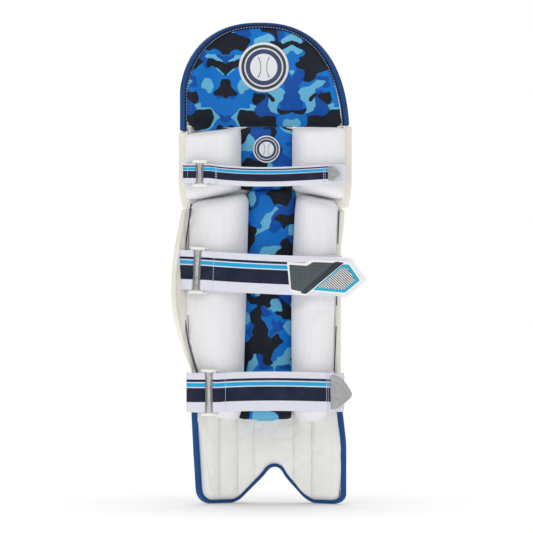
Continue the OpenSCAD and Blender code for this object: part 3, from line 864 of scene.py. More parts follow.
# Navy piping marks the seam between the left bolster and the wing
z = np.linspace(170, 440, 90)
x = np.interp(z, [170, 198, 240, 280, 330, 380, 441], [-93, -102.5, -114, -119.5, -121.3, -117.5, -109.5])
y = np.interp(z, [170, 196, 215, 425, 440], [-4, -24, -38.2, -38.2, -32])
piping = cord_along("calf_bolster_piping", np.stack([x, y, z], 1), 1.1)
piping.data.materials.append(navy_cord)
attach(piping, "shin_guard")
# Three short stretches of the same piping show where the right bolster meets the shin's edge
stretches = ((196, 262, 98.8, 101.8, -17), (292, 318, 102.4, 103, -17), (382, 430, 104.2, 105.6, -16))
for k, (low, high, x_low, x_high, y) in enumerate(stretches):
    z = np.linspace(low, high, 30)
    line = np.stack([np.interp(z, [low, high], [x_low, x_high]), np.full_like(z, y), z], 1)
    stretch = cord_along(f"right_bolster_seam_{k}", line, 0.9)
    stretch.data.materials.append(navy_cord)
    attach(stretch, "shin_guard")


# ---- Centre bolster ----
# The strip down the middle of the channel is the same spacer mesh, printed with a blue, sky and
# black camouflage, and padded low so that the shin bone sits in it.
def camouflage_finish(name, fold_at=None):
    """Printed knit: wandering patches of four colours, with painted shade between its raised cells. A folded
    print mirrors itself at upright lines.
    """
    made, tree, shader = finish(name, 0.7, sheen=0.0, specular=0.06)
    here = place_on(tree)
    x, z = (add(tree, "SeparateXYZ", None, here).node.outputs[k] for k in (0, 2))
    if fold_at:
        x = sums(tree, "PINGPONG", sums(tree, "ADD", x, fold_at[0]), fold_at[1])
    flat = add(tree, "CombineXYZ", None, x, 0.0, z)
    wander = tree.nodes.new("ShaderNodeTexNoise")
    tree.links.new(flat, wander.inputs["Vector"])
    wander.inputs["Scale"].default_value = 40
    wander.inputs["Detail"].default_value = 1
    drift = add(tree, "VectorMath", {"operation": "SCALE"}, wander.outputs["Color"])
    drift.node.inputs["Scale"].default_value = 0.036
    bent = add(tree, "VectorMath", {"operation": "ADD"}, flat, drift)
    cover = tint(0, 118, 208)
    for shift, scale, edge, colour in (((0.3, 0, 0.1), (30, 1, 36), 0.54, tint(0, 80, 170)),
                                       ((0.9, 0, 0.4), (31, 1, 36), 0.575, tint(108, 188, 224)),
                                       ((0.1, 0, 0.77), (27, 1, 31), 0.525, tint(16, 20, 24))):
        part = add(tree, "Mapping", None, bent, Location=shift, Scale=scale)
        patch = add(tree, "TexNoise", None, part, Scale=1.0, Detail=0.6, Roughness=0.4)
        cover = blended(tree, stepped(tree, patch, edge - 0.004, edge + 0.004), cover, colour)
    squeezed = add(tree, "Mapping", None, here, Scale=(1, 1, 0.62))
    cells = stepped(tree, add(tree, "TexVoronoi", None, squeezed, Scale=620, Randomness=0.25), 0.12, 0.45)
    cloudy = add(tree, "TexNoise", None, here, Scale=20, Detail=3)
    # Painted shade: the knit between its raised cells, low in the relief, is darkened a little towards navy
    cover = blended(tree, sums(tree, "MULTIPLY", cells, 0.12), cover, tint(10, 30, 60))
    cover = blended(tree, sums(tree, "MULTIPLY", cloudy, 0.03), cover, tint(230, 240, 250))
    tree.links.new(cover, shader.inputs["Base Color"])
    raised(tree, shader, sums(tree, "SUBTRACT", 1.0, cells), 0.0003, 0.5)
    raised(tree, shader, add(tree, "TexNoise", None, here, Scale=40, Detail=2), 0.0012, 0.3)
    return made


camouflage = camouflage_finish("camouflage_knit")
strip_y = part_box("centre_bolster")[0].y * 1000
centre = cushion(
    "centre_bolster_padded", lambda u: bolster_low - 5 + 0 * u, lambda u: 464 + 0 * u,
    lambda z: np.interp(z, [126, 460], [-42, -31]), lambda z: np.interp(z, [126, 460], [38.5, 45.5]),
    strip_y + 3.5, ends=(14, 10), shape=0.45)
stuffed(centre, 4.5, 4, lambda p: p[:, 1] > leg_face(p[:, 0]) - 3)
centre.data.materials.append(camouflage)
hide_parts("centre_bolster")
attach(centre, "shin_guard")


# ---- Knee pads and knee bolster ----
# Either side of the knee is a short cushion of white spacer mesh, cut so that its lower edge climbs
# towards the middle. Between them is a printed cushion with a round rubber badge sewn on it.
pad_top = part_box("knee_pad_left")[1].z * 1000
knee_sides = (("left", lambda u: 443.5 + 16.5 * u ** 1.2, -119, -36.5, 9.5),
              ("right", lambda u: 460.5 - 16 * u ** 0.85, 37, 115.5, 0))


def knee_base(x, z=None):
    """Y of the knee's leg face, which turns back along the rolled edge."""
    over = np.clip(np.abs(x) - 106, 0, 20)
    return leg_face(np.clip(x, -106, 106)) - 0.9 * over


for side, low, left_x, right_x, top_drop in knee_sides:
    pad = cushion(f"knee_pad_{side}_padded", low, lambda u: pad_top + 0.5 - top_drop * (1 - u),
                  lambda z: left_x + 0 * z, lambda z: right_x + 0 * z, crest_y + 4.5, knee_base,
                  ends=(16, 12))
    stuffed(pad, 4.2, 5, lambda p: p[:, 1] > knee_base(p[:, 0]) - 3)
    pad.data.materials.append(spacer_mesh)
    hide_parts(f"knee_pad_{side}")
    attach(pad, "shin_guard")
knee_bolster = cushion(
    "knee_bolster_padded", lambda u: 459.5 + 0 * u, lambda u: pad_top + 2 + 0 * u,
    lambda z: -41 + 0 * z, lambda z: 41.5 + 0 * z, strip_y + 3.5, ends=(12, 10), shape=0.45)
stuffed(knee_bolster, 4.2, 4, lambda p: p[:, 1] > leg_face(p[:, 0]) - 3)
knee_bolster.data.materials.append(camouflage)
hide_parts("knee_bolster")
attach(knee_bolster, "shin_guard")


# ---- Calf wing ----
# A flexible flap of foam stands off the shin's left edge and wraps the outside of the calf. Its
# outer face is white, its inner face cream with an upright seam, and its free edge is bound in cream.
wing_front, wing_rear, wing_t = np.array([-112.6, 8.8]), np.array([-141.0, -67.0]), 12.0
wing_low, wing_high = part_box("wing_binding")[0].z * 1000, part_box("wing_binding")[1].z * 1000
wing_mid = 312.0
wing_run = (wing_rear - wing_front) / np.linalg.norm(wing_rear - wing_front)
wing_leg = np.array([-wing_run[1], wing_run[0]])


def wing_reach(z):
    """How far the wing runs back from the shin's edge at a height."""
    low = 5 - 72 * np.sin(np.pi / 2 * np.clip((z - wing_low) / (wing_mid - wing_low), 0, 1))
    high = -67 + 40 * (1 - np.cos(np.pi / 2 * np.clip((z - wing_mid) / (wing_high - wing_mid), 0, 1)))
    y = np.where(z < wing_mid, low, high)
    return (wing_front[1] - y) / -wing_run[1]


def wing_point(s, depth, z):
    """A point a distance back along the wing and a depth in from its outer face."""
    back_by = s + 0.38 * depth * np.clip(1 - s / 12, 0, 1)
    at = wing_front + back_by[..., None] * wing_run + depth[..., None] * wing_leg
    return np.concatenate([at, z[..., None]], -1)


wing_foam_finish, tree, shader = finish("dense_foam", 0.9)
pores = add(tree, "TexVoronoi", None, place_on(tree), Scale=900)
tree.links.new(blended(tree, pores, tint(214, 208, 186), tint(236, 232, 214)), shader.inputs["Base Color"])
raised(tree, shader, pores, 0.0004, 0.8)
z = np.linspace(wing_low + 6, wing_high - 5, 64)[:, None]
u = np.linspace(0, 1, 26)[None, :]
s = 0.6 + (wing_reach(z) - 5.5 - 0.6) * u
stand = 1 - 0.55 * (1 - np.clip((wing_reach(z) - 5.5 - s) / 16, 0, 1)) ** 2
ends = np.clip(np.minimum(z - wing_low - 6, wing_high - 5 - z) / 14, 0, 1)
stand = stand * (0.55 + 0.45 * np.sqrt(1 - (1 - ends) ** 2))
seam = np.exp(-((s - 62) / 2.2) ** 2) + np.exp(-((s - 3) / 2.5) ** 2)
soft = ripples(s + 0 * z, 0 * s * z, z + 0 * s, 24, 8)
half = wing_t / 2
outer_high = half * stand - 0.4 * seam + 0.35 * soft
inner_high = half * stand - 1.3 * seam + 0.5 * soft
layers = {"wing_outer_cloth": ("wing_facing", coated_white, "roll_facing", -1, outer_high, 2.6),
          "wing_foam_core": ("wing_foam", wing_foam_finish, "foam", 0, None, None),
          "wing_inner_cloth": ("wing_lining", cream, "edge_cream", 1, inner_high, 2.2)}
for name, (node, stuff, slot_name, way, high, thick) in layers.items():
    if way:
        outer, inner = half + way * high, half + way * (high - thick * stand)
    else:
        outer, inner = half - (half - 3.1) * stand, half + (half - 3.1) * stand
    panel = slab(name, wing_point(s + 0 * z, outer, z + 0 * s), wing_point(s + 0 * z, inner, z + 0 * s), 75)
    panel.data.materials.append(stuff)
    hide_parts(node)
    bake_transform(panel)
rise = np.linspace(wing_low + 3, wing_high - 2.5, 90)
rim = np.stack([np.r_[wing_low + 1.5, rise, wing_high - 1.5], np.r_[0.8, wing_reach(rise), 0.8]], 1)
rim = even(rim, 3.4, 3)
z, s = rim[:, 0], np.maximum(rim[:, 1] - 0.6, 0.8)
flat = left_of(np.stack([s, z], 1))
inward = flat[:, :1] * np.array([*wing_run, 0]) + flat[:, 1:] * np.array([0, 0, 1.0])
near, far = wing_point(s, 0 * s + 9.6, z), wing_point(s, 0 * s + 2.2, z)
edge = tape("wing_binding_tape", near, far, inward, 8.2, square=0.75, seed=5)
smoother(edge)
edge.data.materials.append(cream)
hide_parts("wing_binding")
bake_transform(edge)
seam_line = wing_point(s, 0 * s + 9.9, z) + inward * 6.6
wing_stitches = sewn("wing_binding_stitches", [seam_line], white_thread, 3.6, 2.4, 0.4)
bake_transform(wing_stitches)


# ---- Strap fastenings ----
# Each fastening is a loop of striped webbing sewn to the pad's left edge, a nylon slide with a steel
# centre bar, and a striped strap looped round the slide's other bar. All webbing is woven polyester.
# The middle of each slide, the width of its webbing and its slope in degrees
stations = {"knee": ((-97.0, 484.0), 28.0, 0.0), "calf": ((-101.0, 344.0), 57.0, 2.5),
            "ankle": ((-83.5, 166.0), 57.0, 0.0)}
places = dict(stations)
strap_y, bar_gap, bar_r, web = -52.0, 9.0, 1.8, 1.7
bows = {"knee": -5.0, "calf": -1.5, "ankle": 2.2}
reaches = {"knee": 199.0, "calf": 228.0, "ankle": 190.0}
anchor_body = {"knee": "shin_guard", "calf": "calf_wing", "ankle": "shin_guard"}


def at_station(label, points):
    """Points in a fastening's own frame put in place: x runs along the strap from the slide's left bar."""
    (x0, z0), _, tilt = places[label]
    c, s = math.cos(math.radians(tilt)), math.sin(math.radians(tilt))
    x, y, z = points[..., 0], points[..., 1], points[..., 2]
    return np.stack([x0 - bar_gap + x * c + z * s, strap_y + y, z0 - x * s + z * c], -1)


def webbing(name, label, line, width, bow=lambda x: 0 * x, thick=None):
    """A flat woven strap that follows a line in plan, with rounded selvedges."""
    line = np.array(line)
    half = (thick or web) / 2
    run = np.gradient(line, axis=0)
    run /= np.linalg.norm(run, axis=1)[:, None]
    side = np.stack([-run[:, 1], run[:, 0]], 1)
    along = np.r_[0, np.cumsum(np.linalg.norm(np.diff(line, axis=0), axis=1))]
    k = np.linspace(-1, 1, 19)
    round_edge = np.sqrt(np.clip(1 - np.clip((np.abs(k) - 0.965) / 0.035, 0, 1) ** 2, 0.06, 1))
    across = np.r_[k, k[::-1]]
    lift = np.r_[round_edge, -round_edge[::-1]]
    x, y, flat = line[:, :1], line[:, 1:], 0 * line[:, :1] * across
    waved = 0.25 * ripples(x + flat, across * 2 + flat, flat, 28, width)
    rings = np.stack([x + side[:, :1] * lift * half, y + side[:, 1:] * lift * half + waved,
                      across * width / 2 + bow(x) + flat], -1)
    return tube(name, at_station(label, rings), 50,
                {"along": along[:, None] + flat, "across": (across + 1) / 2 + flat, "width": width + flat})


def banded(tree, value, stops):
    """Plain bands of colour, each from its own stop up to the next."""
    bands = tree.nodes.new("ShaderNodeValToRGB")
    bands.color_ramp.interpolation = "CONSTANT"
    for k, (at, colour) in enumerate(stops):
        stop = bands.color_ramp.elements.new(at) if k else bands.color_ramp.elements[0]
        stop.position, stop.color = at, colour
    tree.links.new(value, bands.inputs[0])
    return bands.outputs[0]


def striped_finish(name, stops):
    """Woven stripes across a strap, read from its own lower to upper edge, with a twill in the navy."""
    made, tree, shader = finish(name, 0.7, sheen=0.03, specular=0.15)
    along, across, width = (mark(tree, label) for label in ("along", "across", "width"))
    ragged = sums(tree, "MULTIPLY", sums(tree, "SINE", sums(tree, "MULTIPLY", along, 2.4)), 0.004)
    colours = banded(tree, sums(tree, "ADD", across, ragged), stops)
    rows = sums(tree, "MULTIPLY", across, width)
    twill = sums(tree, "SINE", sums(tree, "MULTIPLY", sums(tree, "ADD", along, rows), 2.1))
    picks = sums(tree, "SINE", sums(tree, "MULTIPLY", along, 7.5))
    ends = sums(tree, "SINE", sums(tree, "MULTIPLY", rows, 5.2))
    lit = stepped(tree, twill, 0.2, 1.0)
    cover = blended(tree, sums(tree, "MULTIPLY", lit, 0.34), colours, tint(84, 98, 146))
    cloudy = add(tree, "TexNoise", None, place_on(tree), Scale=40, Detail=4)
    faded = sums(tree, "MULTIPLY", stepped(tree, cloudy, 0.4, 0.8), 0.03)
    cover = blended(tree, faded, cover, tint(190, 190, 196))
    tree.links.new(cover, shader.inputs["Base Color"])
    raised(tree, shader, sums(tree, "MULTIPLY", picks, ends), 0.00012, 0.6)
    raised(tree, shader, twill, 0.00015, 0.5)
    return made


web_white, web_navy, web_cyan = tint(232, 232, 242), tint(9, 12, 33), tint(14, 170, 222)
stripe_order = (web_white, web_navy, web_white, web_cyan, web_white, web_navy, web_white)
wide_from = (0.0, 0.261, 0.621, 0.647, 0.744, 0.770, 0.833)
narrow_from = (0.0, 0.252, 0.631, 0.660, 0.805, 0.838, 0.912)
wide_stripes = striped_finish("wide_stripes", list(zip(wide_from, stripe_order)))
narrow_stripes = striped_finish("narrow_stripes", list(zip(narrow_from, stripe_order)))
white_webbing = striped_finish("white_webbing", list(zip((0.0, 0.06, 0.94),
                                                         (web_white, tint(226, 226, 236), web_white))))


def bowed(label):
    """The gentle sag or rise of a strap between its slide and its tip."""
    reach = reaches[label]
    return lambda x: bows[label] * np.sin(np.pi * np.clip((x - 24) / (reach - 10), 0, 1) ** 0.8)


loop_r = bar_r + 0.4 + web / 2
hooks = {"knee": (-14.5, 28.0), "calf": (-20.0, None), "ankle": (-23.0, 61.0)}
right_bar = 2 * bar_gap
for label, (_, width, _) in stations.items():
    stripes = narrow_stripes if label == "knee" else wide_stripes
    reach = reaches[label]
    loop = turn((right_bar, 0), loop_r, 90, 270, 12)
    strap_line = even([(44, 0.75), (right_bar + 7, 1.1)] + loop[:1], 4)[:-1].tolist() + loop \
        + even([(right_bar + 3, -loop_r), (right_bar + 13, -0.75), (reach, -0.7)], 4, 2).tolist()
    strap = webbing(f"{label}_strap_webbing", label, strap_line, width, bowed(label))
    strap.data.materials.append(stripes)
    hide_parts(f"{label}_strap")
    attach(strap, f"{label}_strap")
    x_edge, root = hooks[label]
    loop = turn((0, 0), loop_r, -90, 90, 12)
    edge_line = [(x_edge, -0.6)]
    if root:
        edge_line = [(x_edge, root), (x_edge, 5)] + turn((x_edge + 4, 3.2), 4, 180, 270, 6)
    anchor_line = even(edge_line + [(min(x_edge + 6, -7), -0.8), (-3, -loop_r)], 3.0, 1)[:-1].tolist()
    anchor_line = anchor_line + loop \
        + even([(-3, loop_r), (-8, 1.2), (max(x_edge + 3, -14), 1.05)], 3).tolist()
    anchor = webbing(f"{label}_anchor_webbing", label, anchor_line, width)
    anchor.data.materials.append(stripes)
    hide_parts(f"{label}_anchor")
    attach(anchor, anchor_body[label])
    inset = width / 2 - 1.5
    row = np.linspace(-inset, inset, 30)
    tacks = at_station(label, np.stack([0 * row - min(8.5, -x_edge - 3), 0 * row - 1.75, row], 1))
    anchor_stitches = sewn(f"{label}_anchor_stitches", [tacks], pale_thread, 3.0, 2.2, 0.42)
    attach(anchor_stitches, anchor_body[label])
    rows = [right_bar + 14, right_bar + 15.6] if label == "knee" else [right_bar + 15]
    rows += [reach - 8, reach - 10.5] if label != "calf" else []
    lines = [at_station(label, np.stack([0 * row + x, 0 * row - 1.75, row + bowed(label)(x + 0 * row)], 1))
             for x in rows]
    strap_stitches = sewn(f"{label}_strap_stitches", lines, pale_thread, 3.0, 2.2, 0.42)
    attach(strap_stitches, f"{label}_strap")

# Slides: two thick ends of moulded nylon joined by two round bars, with a waisted steel bar between them
nylon, tree, shader = finish("moulded_nylon", 0.32, specular=0.5)
cloudy = add(tree, "TexNoise", None, place_on(tree), Scale=90, Detail=4)
tree.links.new(blended(tree, cloudy, tint(240, 240, 236), tint(228, 228, 222)), shader.inputs["Base Color"])
shader.inputs["Subsurface Weight"].default_value = 0.1
raised(tree, shader, cloudy, 0.0002, 0.3)
steel, tree, shader = finish("bright_steel", 0.28, metallic=1.0)
here = place_on(tree)
drawn_out = add(tree, "Mapping", None, here, Scale=(1, 1, 0.02))
brushed = add(tree, "TexNoise", None, drawn_out, Scale=2500, Detail=3)
worn = add(tree, "TexNoise", None, here, Scale=160, Detail=5)
dulled = blended(tree, stepped(tree, worn, 0.45, 0.7), tint(198, 198, 196), tint(160, 159, 156))
tree.links.new(dulled, shader.inputs["Base Color"])
tree.links.new(add(tree, "MapRange", None, brushed, 0.2, 0.8, 0.2, 0.42), shader.inputs["Roughness"])
raised(tree, shader, brushed, 0.00008, 0.5)
for label, (_, width, _) in stations.items():
    end = width / 2 + 3.1
    a = np.linspace(0, 2 * np.pi, 14, endpoint=False)[None, :]
    rods = []
    for z in (-end, end):
        u = np.linspace(-1, 1, 17)[:, None]
        taper = (1 - 0.999 * np.abs(u) ** 4) ** 0.5
        rings = np.stack([bar_gap + (bar_gap + 2.6) * u + 0 * a, 2.75 * taper * power(np.sin(a), 0.7),
                          z + 2.4 * taper * power(np.cos(a), 0.7)], -1)
        rods.append(tube("slide_end", at_station(label, rings)))
    for x in (0, right_bar):
        z = np.linspace(-end, end, 9)[:, None]
        rings = np.stack([x + bar_r * np.cos(a) + 0 * z, bar_r * np.sin(a) + 0 * z, z + 0 * a], -1)
        rods.append(tube("slide_side", at_station(label, rings)))
    slide = bundle(f"{label}_slide_frame", rods)
    slide.data.materials.append(nylon)
    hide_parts(f"{label}_slide")
    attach(slide, f"{label}_slide")
    z = np.linspace(-width / 2 - 0.9, width / 2 + 0.9, 25)[:, None]
    a = np.linspace(0, 2 * np.pi, 20, endpoint=False)[None, :]
    half_w = 2.6 + 1.3 * np.abs(z / (width / 2 + 0.9)) ** 3
    rings = np.stack([bar_gap + half_w * power(np.cos(a), 0.6), 0 * z - 0.2 + 1.15 * power(np.sin(a), 0.8),
                      z + 0 * a], -1)
    bar = tube(f"{label}_slide_steel_bar", at_station(label, rings), 45)
    bar.data.materials.append(steel)
    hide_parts(f"{label}_slide_bar")
    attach(bar, f"{label}_slide")


# ---- Under-pads, counter straps and hook patches ----
# A soft white flap lies behind each slide. On the right a white loop-faced strap comes round from
# the pad's edge, and the hook patch on the back of the striped strap grips it.
def plate(name, label, outline, y_back, rise, centre=None, step=1.6, soften=2, bend=None):
    """A moulded or cut plate. Rise gives the height of its front at each share of the way in from its rim."""
    rim_line = even(list(outline) + [outline[0]], step)[:-1]
    for _ in range(soften):
        rim_line = (np.roll(rim_line, 1, 0) + 2 * rim_line + np.roll(rim_line, -1, 0)) / 4
    mid = np.array(centre) if centre is not None else rim_line.mean(0)
    shares = [s for s, _ in rise]
    heights = [h for _, h in rise]
    rings = []
    for s in (0.004, 0.03, 0.5, 0.995):
        flat = mid + (rim_line - mid) * s
        rings.append(np.stack([flat[:, 0], 0 * flat[:, 0] + y_back, flat[:, 1]], 1))
    for s, h in zip(shares, heights):
        flat = mid + (rim_line - mid) * max(1 - s, 0.004)
        rings.append(np.stack([flat[:, 0], 0 * flat[:, 0] + y_back - h, flat[:, 1]], 1))
    rings = np.array(rings)
    if bend is not None:
        rings[..., 1] += bend(rings[..., 0], rings[..., 2])
    inward_mark = np.concatenate([np.zeros(4), shares])[:, None] + 0 * rings[..., 0]
    return tube(name, at_station(label, rings) if label else rings, 35, {"inward": inward_mark})


hook_faced, tree, shader = finish("hook_tape", 0.75, sheen=0.4)
hooked = add(tree, "TexVoronoi", None, place_on(tree), Scale=800, Randomness=0.3)
tree.links.new(blended(tree, hooked, tint(214, 214, 218), tint(240, 240, 242)), shader.inputs["Base Color"])
raised(tree, shader, hooked, 0.0008, 0.9)
# How far each counter strap is dropped, where it starts, its corner and its root at the pad's edge
counters = {"knee": (0.0, 44, 118.6, -17.5), "calf": (-7.0, 44, 110.8, -7.6), "ankle": (0.0, 44, 113.6, -5.6)}
flap_relief = [(0.0, 0.3), (0.03, 1.5), (0.1, 1.9), (0.14, 1.3), (0.18, 1.9), (0.5, 2.2), (1.0, 2.2)]


def curled(x, z):
    """How far a flap's rim curls towards the leg."""
    top, foot, side = (z - h + 9) / 9, (-z - h + 8) / 8, (-x - 1) / 5
    return -2.2 * np.clip(top, 0, 1) ** 2 - 1.2 * np.clip(foot, 0, 1) ** 2 - np.clip(side, 0, 1) ** 2


for label, ((x0, z0), width, _) in stations.items():
    h = width / 2 + 6
    flap = plate(f"{label}_slide_flap", label, [(-4.5, -h), (24, -h + 1), (24.5, h - 1), (-4.5, h)], 7.3,
                 flap_relief, bend=curled, soften=4)
    flap.data.materials.append(coated_white)
    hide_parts(f"{label}_underpad")
    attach(flap, "shin_guard")
    drop, start, corner, root = counters[label]
    corner_x = corner - 1.2
    bend = turn((corner_x - 5, -40.9), 5, -90, 0, 6)
    line = even([(start, -45.9), (corner_x - 5, -45.9)] + bend + [(corner_x, root)], 4, 1)
    local = np.stack([line[:, 0] - (x0 - bar_gap), line[:, 1] - strap_y], 1)
    places[f"{label}_counter"] = ((x0, z0 + drop), width, 0.0)
    counter = webbing(f"{label}_counter_webbing", f"{label}_counter", local, width - 1)
    counter.data.materials.append(white_webbing)
    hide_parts(f"{label}_counter_strap")
    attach(counter, "shin_guard")
    start, stop = {"knee": (150, 202), "calf": (160, 218), "ankle": (156, 204)}[label]
    line = even([(start, 1.9), (stop, 1.9)], 4)
    patch = webbing(f"{label}_hook_patch_tape", label, line, width - 5, bowed(label), 2.0)
    patch.data.materials.append(hook_faced)
    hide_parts(f"{label}_hook_patch")
    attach(patch, f"{label}_strap")


# ---- Strap tips ----
# The knee and ankle straps end in pointed tips of silver moulded rubber with a raised rim, sewn on.
# The calf strap ends in a large badge plate, built up from white, charcoal, navy and blue parts.
silver, tree, shader = finish("silver_rubber", 0.36, metallic=0.35)
here = place_on(tree)
flake = add(tree, "TexNoise", None, here, Scale=1800, Detail=2)
cloudy = add(tree, "TexNoise", None, here, Scale=70, Detail=4)
paint = blended(tree, cloudy, tint(142, 144, 142), tint(176, 178, 177))
flecked = blended(tree, sums(tree, "MULTIPLY", flake, 0.25), paint, tint(206, 207, 208))
tree.links.new(flecked, shader.inputs["Base Color"])
raised(tree, shader, flake, 0.00008, 0.5)
raised_rim = [(0.0, 0.5), (0.02, 1.4), (0.05, 1.9), (0.13, 1.95), (0.17, 1.25), (0.42, 1.2), (0.47, 1.9),
              (0.55, 1.95), (0.6, 1.35), (0.8, 1.6), (1.0, 1.9)]
knee_tip = plate("knee_tip_moulding", "knee",
                 [(195, 10.5), (203, 9.2), (210.5, 3.4), (213.5, 0), (210.5, -4.4), (203, -9.8),
                  (195, -10.5)],
                 -1.5, raised_rim, centre=(202, 0), step=1.2)
ankle_tip = plate("ankle_tip_moulding", "ankle",
                  [(184.5, 25.5), (190, 26), (200, 20.5), (208, 14), (214, 4.5), (217.5, -3.5), (212, -10),
                   (204, -17), (195, -22.5), (185.5, -25.5)],
                  -1.5, raised_rim, centre=(198.5, 0), step=1.8)
for tip, label in ((knee_tip, "knee"), (ankle_tip, "ankle")):
    tip.data.materials.append(silver)
    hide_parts(f"{label}_tip")
    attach(tip, f"{label}_strap")
tip_tab = plate("calf_strap_end", "calf",
                [(214, 28), (233, 27), (240, 16), (256, -3), (236, -22), (231, -28), (214, -28)],
                -0.6, [(0.0, 0.4), (0.03, 0.9), (1.0, 0.9)], centre=(228, 0))
tip_tab.data.materials.append(white_webbing)
tip_parts = [tip_tab]


def flat_finish(name, colour, other, rough, pattern=None, size=900.0):
    """A moulded badge part: fine grain, or a woven-look pattern of two tones."""
    made, tree, shader = finish(name, rough, specular=0.5)
    here = place_on(tree)
    grain = add(tree, "TexNoise", None, here, Scale=size, Detail=2)
    tone = grain
    if pattern == "carbon":
        turned = add(tree, "Mapping", None, here, Rotation=(0, math.radians(45), 0), Scale=(1, 0.001, 1))
        tone = add(tree, "TexChecker", None, turned, Scale=size).node.outputs["Fac"]
    if pattern == "stripes":
        turned = add(tree, "Mapping", None, here, Rotation=(0, math.radians(-42), 0))
        wave = add(tree, "SeparateXYZ", None, turned).node.outputs[2]
        tone = stepped(tree, sums(tree, "SINE", sums(tree, "MULTIPLY", wave, size)), -0.25, 0.05)
    tree.links.new(blended(tree, tone, colour, other), shader.inputs["Base Color"])
    raised(tree, shader, tone, 0.0002, 0.4)
    return made


badge_white = flat_finish("badge_white", tint(244, 244, 242), tint(232, 232, 228), 0.4)
badge_charcoal = flat_finish("badge_charcoal", tint(54, 64, 68), tint(74, 86, 90), 0.45, "carbon", 420.0)
badge_dark = flat_finish("badge_dark", tint(30, 40, 52), tint(36, 48, 60), 0.4)
badge_blue = flat_finish("badge_blue", tint(14, 160, 192), tint(24, 172, 202), 0.4)
badge_striped = flat_finish("badge_stripes", tint(240, 240, 240), tint(26, 30, 34), 0.45, "stripes", 2300.0)
badge_layers = (
    ("calf_badge_base", badge_white, 1.3, (190, -2),
     [(139, 18), (145, -25), (158, -29), (170, -30), (176, -23), (225, -25.5), (249.5, -4), (230, 22.5),
      (174, 23), (165, 17)]),
    ("calf_badge_panel", badge_charcoal, 1.7, (170, -2),
     [(142, 14), (146.5, -22), (160, -24.5), (170, -24), (213, 19.5), (177, 19.5), (168, 13.5)]),
    ("calf_badge_band", badge_dark, 1.85, (190, -3), [(160, -26.5), (168.5, -28), (222, 20.5), (209, 21.5)]),
    ("calf_badge_frame", badge_blue, 1.75, (222, -6),
     [(178, -21.5), (224.5, -23.5), (246, -4.5), (229, 18), (220, 18)]),
    ("calf_badge_stripes", badge_striped, 1.95, (222, -5),
     [(184.5, -17.5), (223.5, -19), (239.5, -4.5), (226.5, 13), (218.5, 13)]))
for name, stuff, height, mid, outline in badge_layers:
    relief = [(0.0, height * 0.5), (0.015, height * 0.9), (0.03, height), (1.0, height)]
    part = plate(name, "calf", outline, -1.5, relief, centre=mid, step=1.5, soften=1)
    part.data.materials.append(stuff)
    tip_parts.append(part)
for part in tip_parts:
    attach(part, "calf_strap")
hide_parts("calf_tip")


# ---- Top hat ----
# Above the knee the wall bends on a sewn line. Its struck face is three upright foam rolls, its leg
# face one panel of printed knit over foam, and the rim is folded in blue tape.
hat_out, hat_t = 148.0, 20.0
hat_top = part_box("top_hat_binding")[1].z * 1000


def hat_rim(inset):
    """The top hat's rim, laid flat, from the right foot over the top to the left foot."""
    line = []
    for a in np.radians(np.linspace(0, 180, 80)):
        rise = math.sin(a) ** (2 / 2.4)
        x = 126 * np.sign(math.cos(a)) * abs(math.cos(a)) ** (2 / 2.4) - 3
        x = x - 6.5 * math.sin(math.pi / 2 * rise)
        across = hat_out * math.asin(np.clip(x / hat_out, -0.866, 0.843))
        line.append((across, hat_z + (hat_top - hat_z) * rise))
    line = even([(line[0][0], hat_z)] + line[1:-1] + [(line[-1][0], hat_z - 8.5)], 3.5, 2)
    return line + inset * left_of(line)


def hat_seam(flat_x):
    """Height of the seam between the top hat's lining and the knee."""
    return np.interp(flat_x, [-155, -110, -37, 40, 145], [545.5, 548, 556, 555.5, 552])


def on_hat(flat_x, depth, z):
    """A point of the top hat from its flat place and its depth behind the struck face."""
    return np.stack([*plan(hat_out - depth, np.degrees(flat_x / hat_out)), z], -1)


outer = hat_rim(0)
crest_line = hat_rim(6.5)
hat_left, hat_span = -57.0, 111.5 / 3
for k in range(3):
    u = np.linspace(0.01, 0.99, 23)
    t = hat_left + hat_span * (k + u)
    flat_x = np.radians(t) * hat_out
    order = np.argsort(crest_line[:, 0])
    high = np.interp(flat_x, crest_line[order, 0], crest_line[order, 1])
    v = np.linspace(0, 1, 34)[:, None]
    z = hat_z - 0.5 + (high - hat_z + 0.5) * v
    ends = 4.0 * (1 - np.clip((high - z) / 14, 0, 1)) ** 2 + 1.5 * (1 - np.clip((z - hat_z) / 8, 0, 1)) ** 2
    depth = 7.0 * (1 - np.sin(np.pi * u) ** 0.5) + ends - 0.5 * ripples(flat_x + 0 * z, 0 * z, z, 10, k + 50)
    depth = depth - 0.8 * ripples(flat_x + 0 * z, 0 * z, z, 50, k)
    inside = np.minimum(high - z, 30) + 0 * z
    rear = thinned(wall(t, hat_t, knee_wrap) + 0 * z, inside) - 5.2
    depth = np.minimum(depth, rear - 0.5)
    roll = slab(f"top_hat_roll_{k + 1}_padded", on_hat(flat_x + 0 * z, depth, z),
                on_hat(flat_x + 0 * z, rear, z))
    smoother(roll)
    roll.data.materials.append(coated_white)
    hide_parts(f"top_hat_roll_{k + 1}")
    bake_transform(roll)

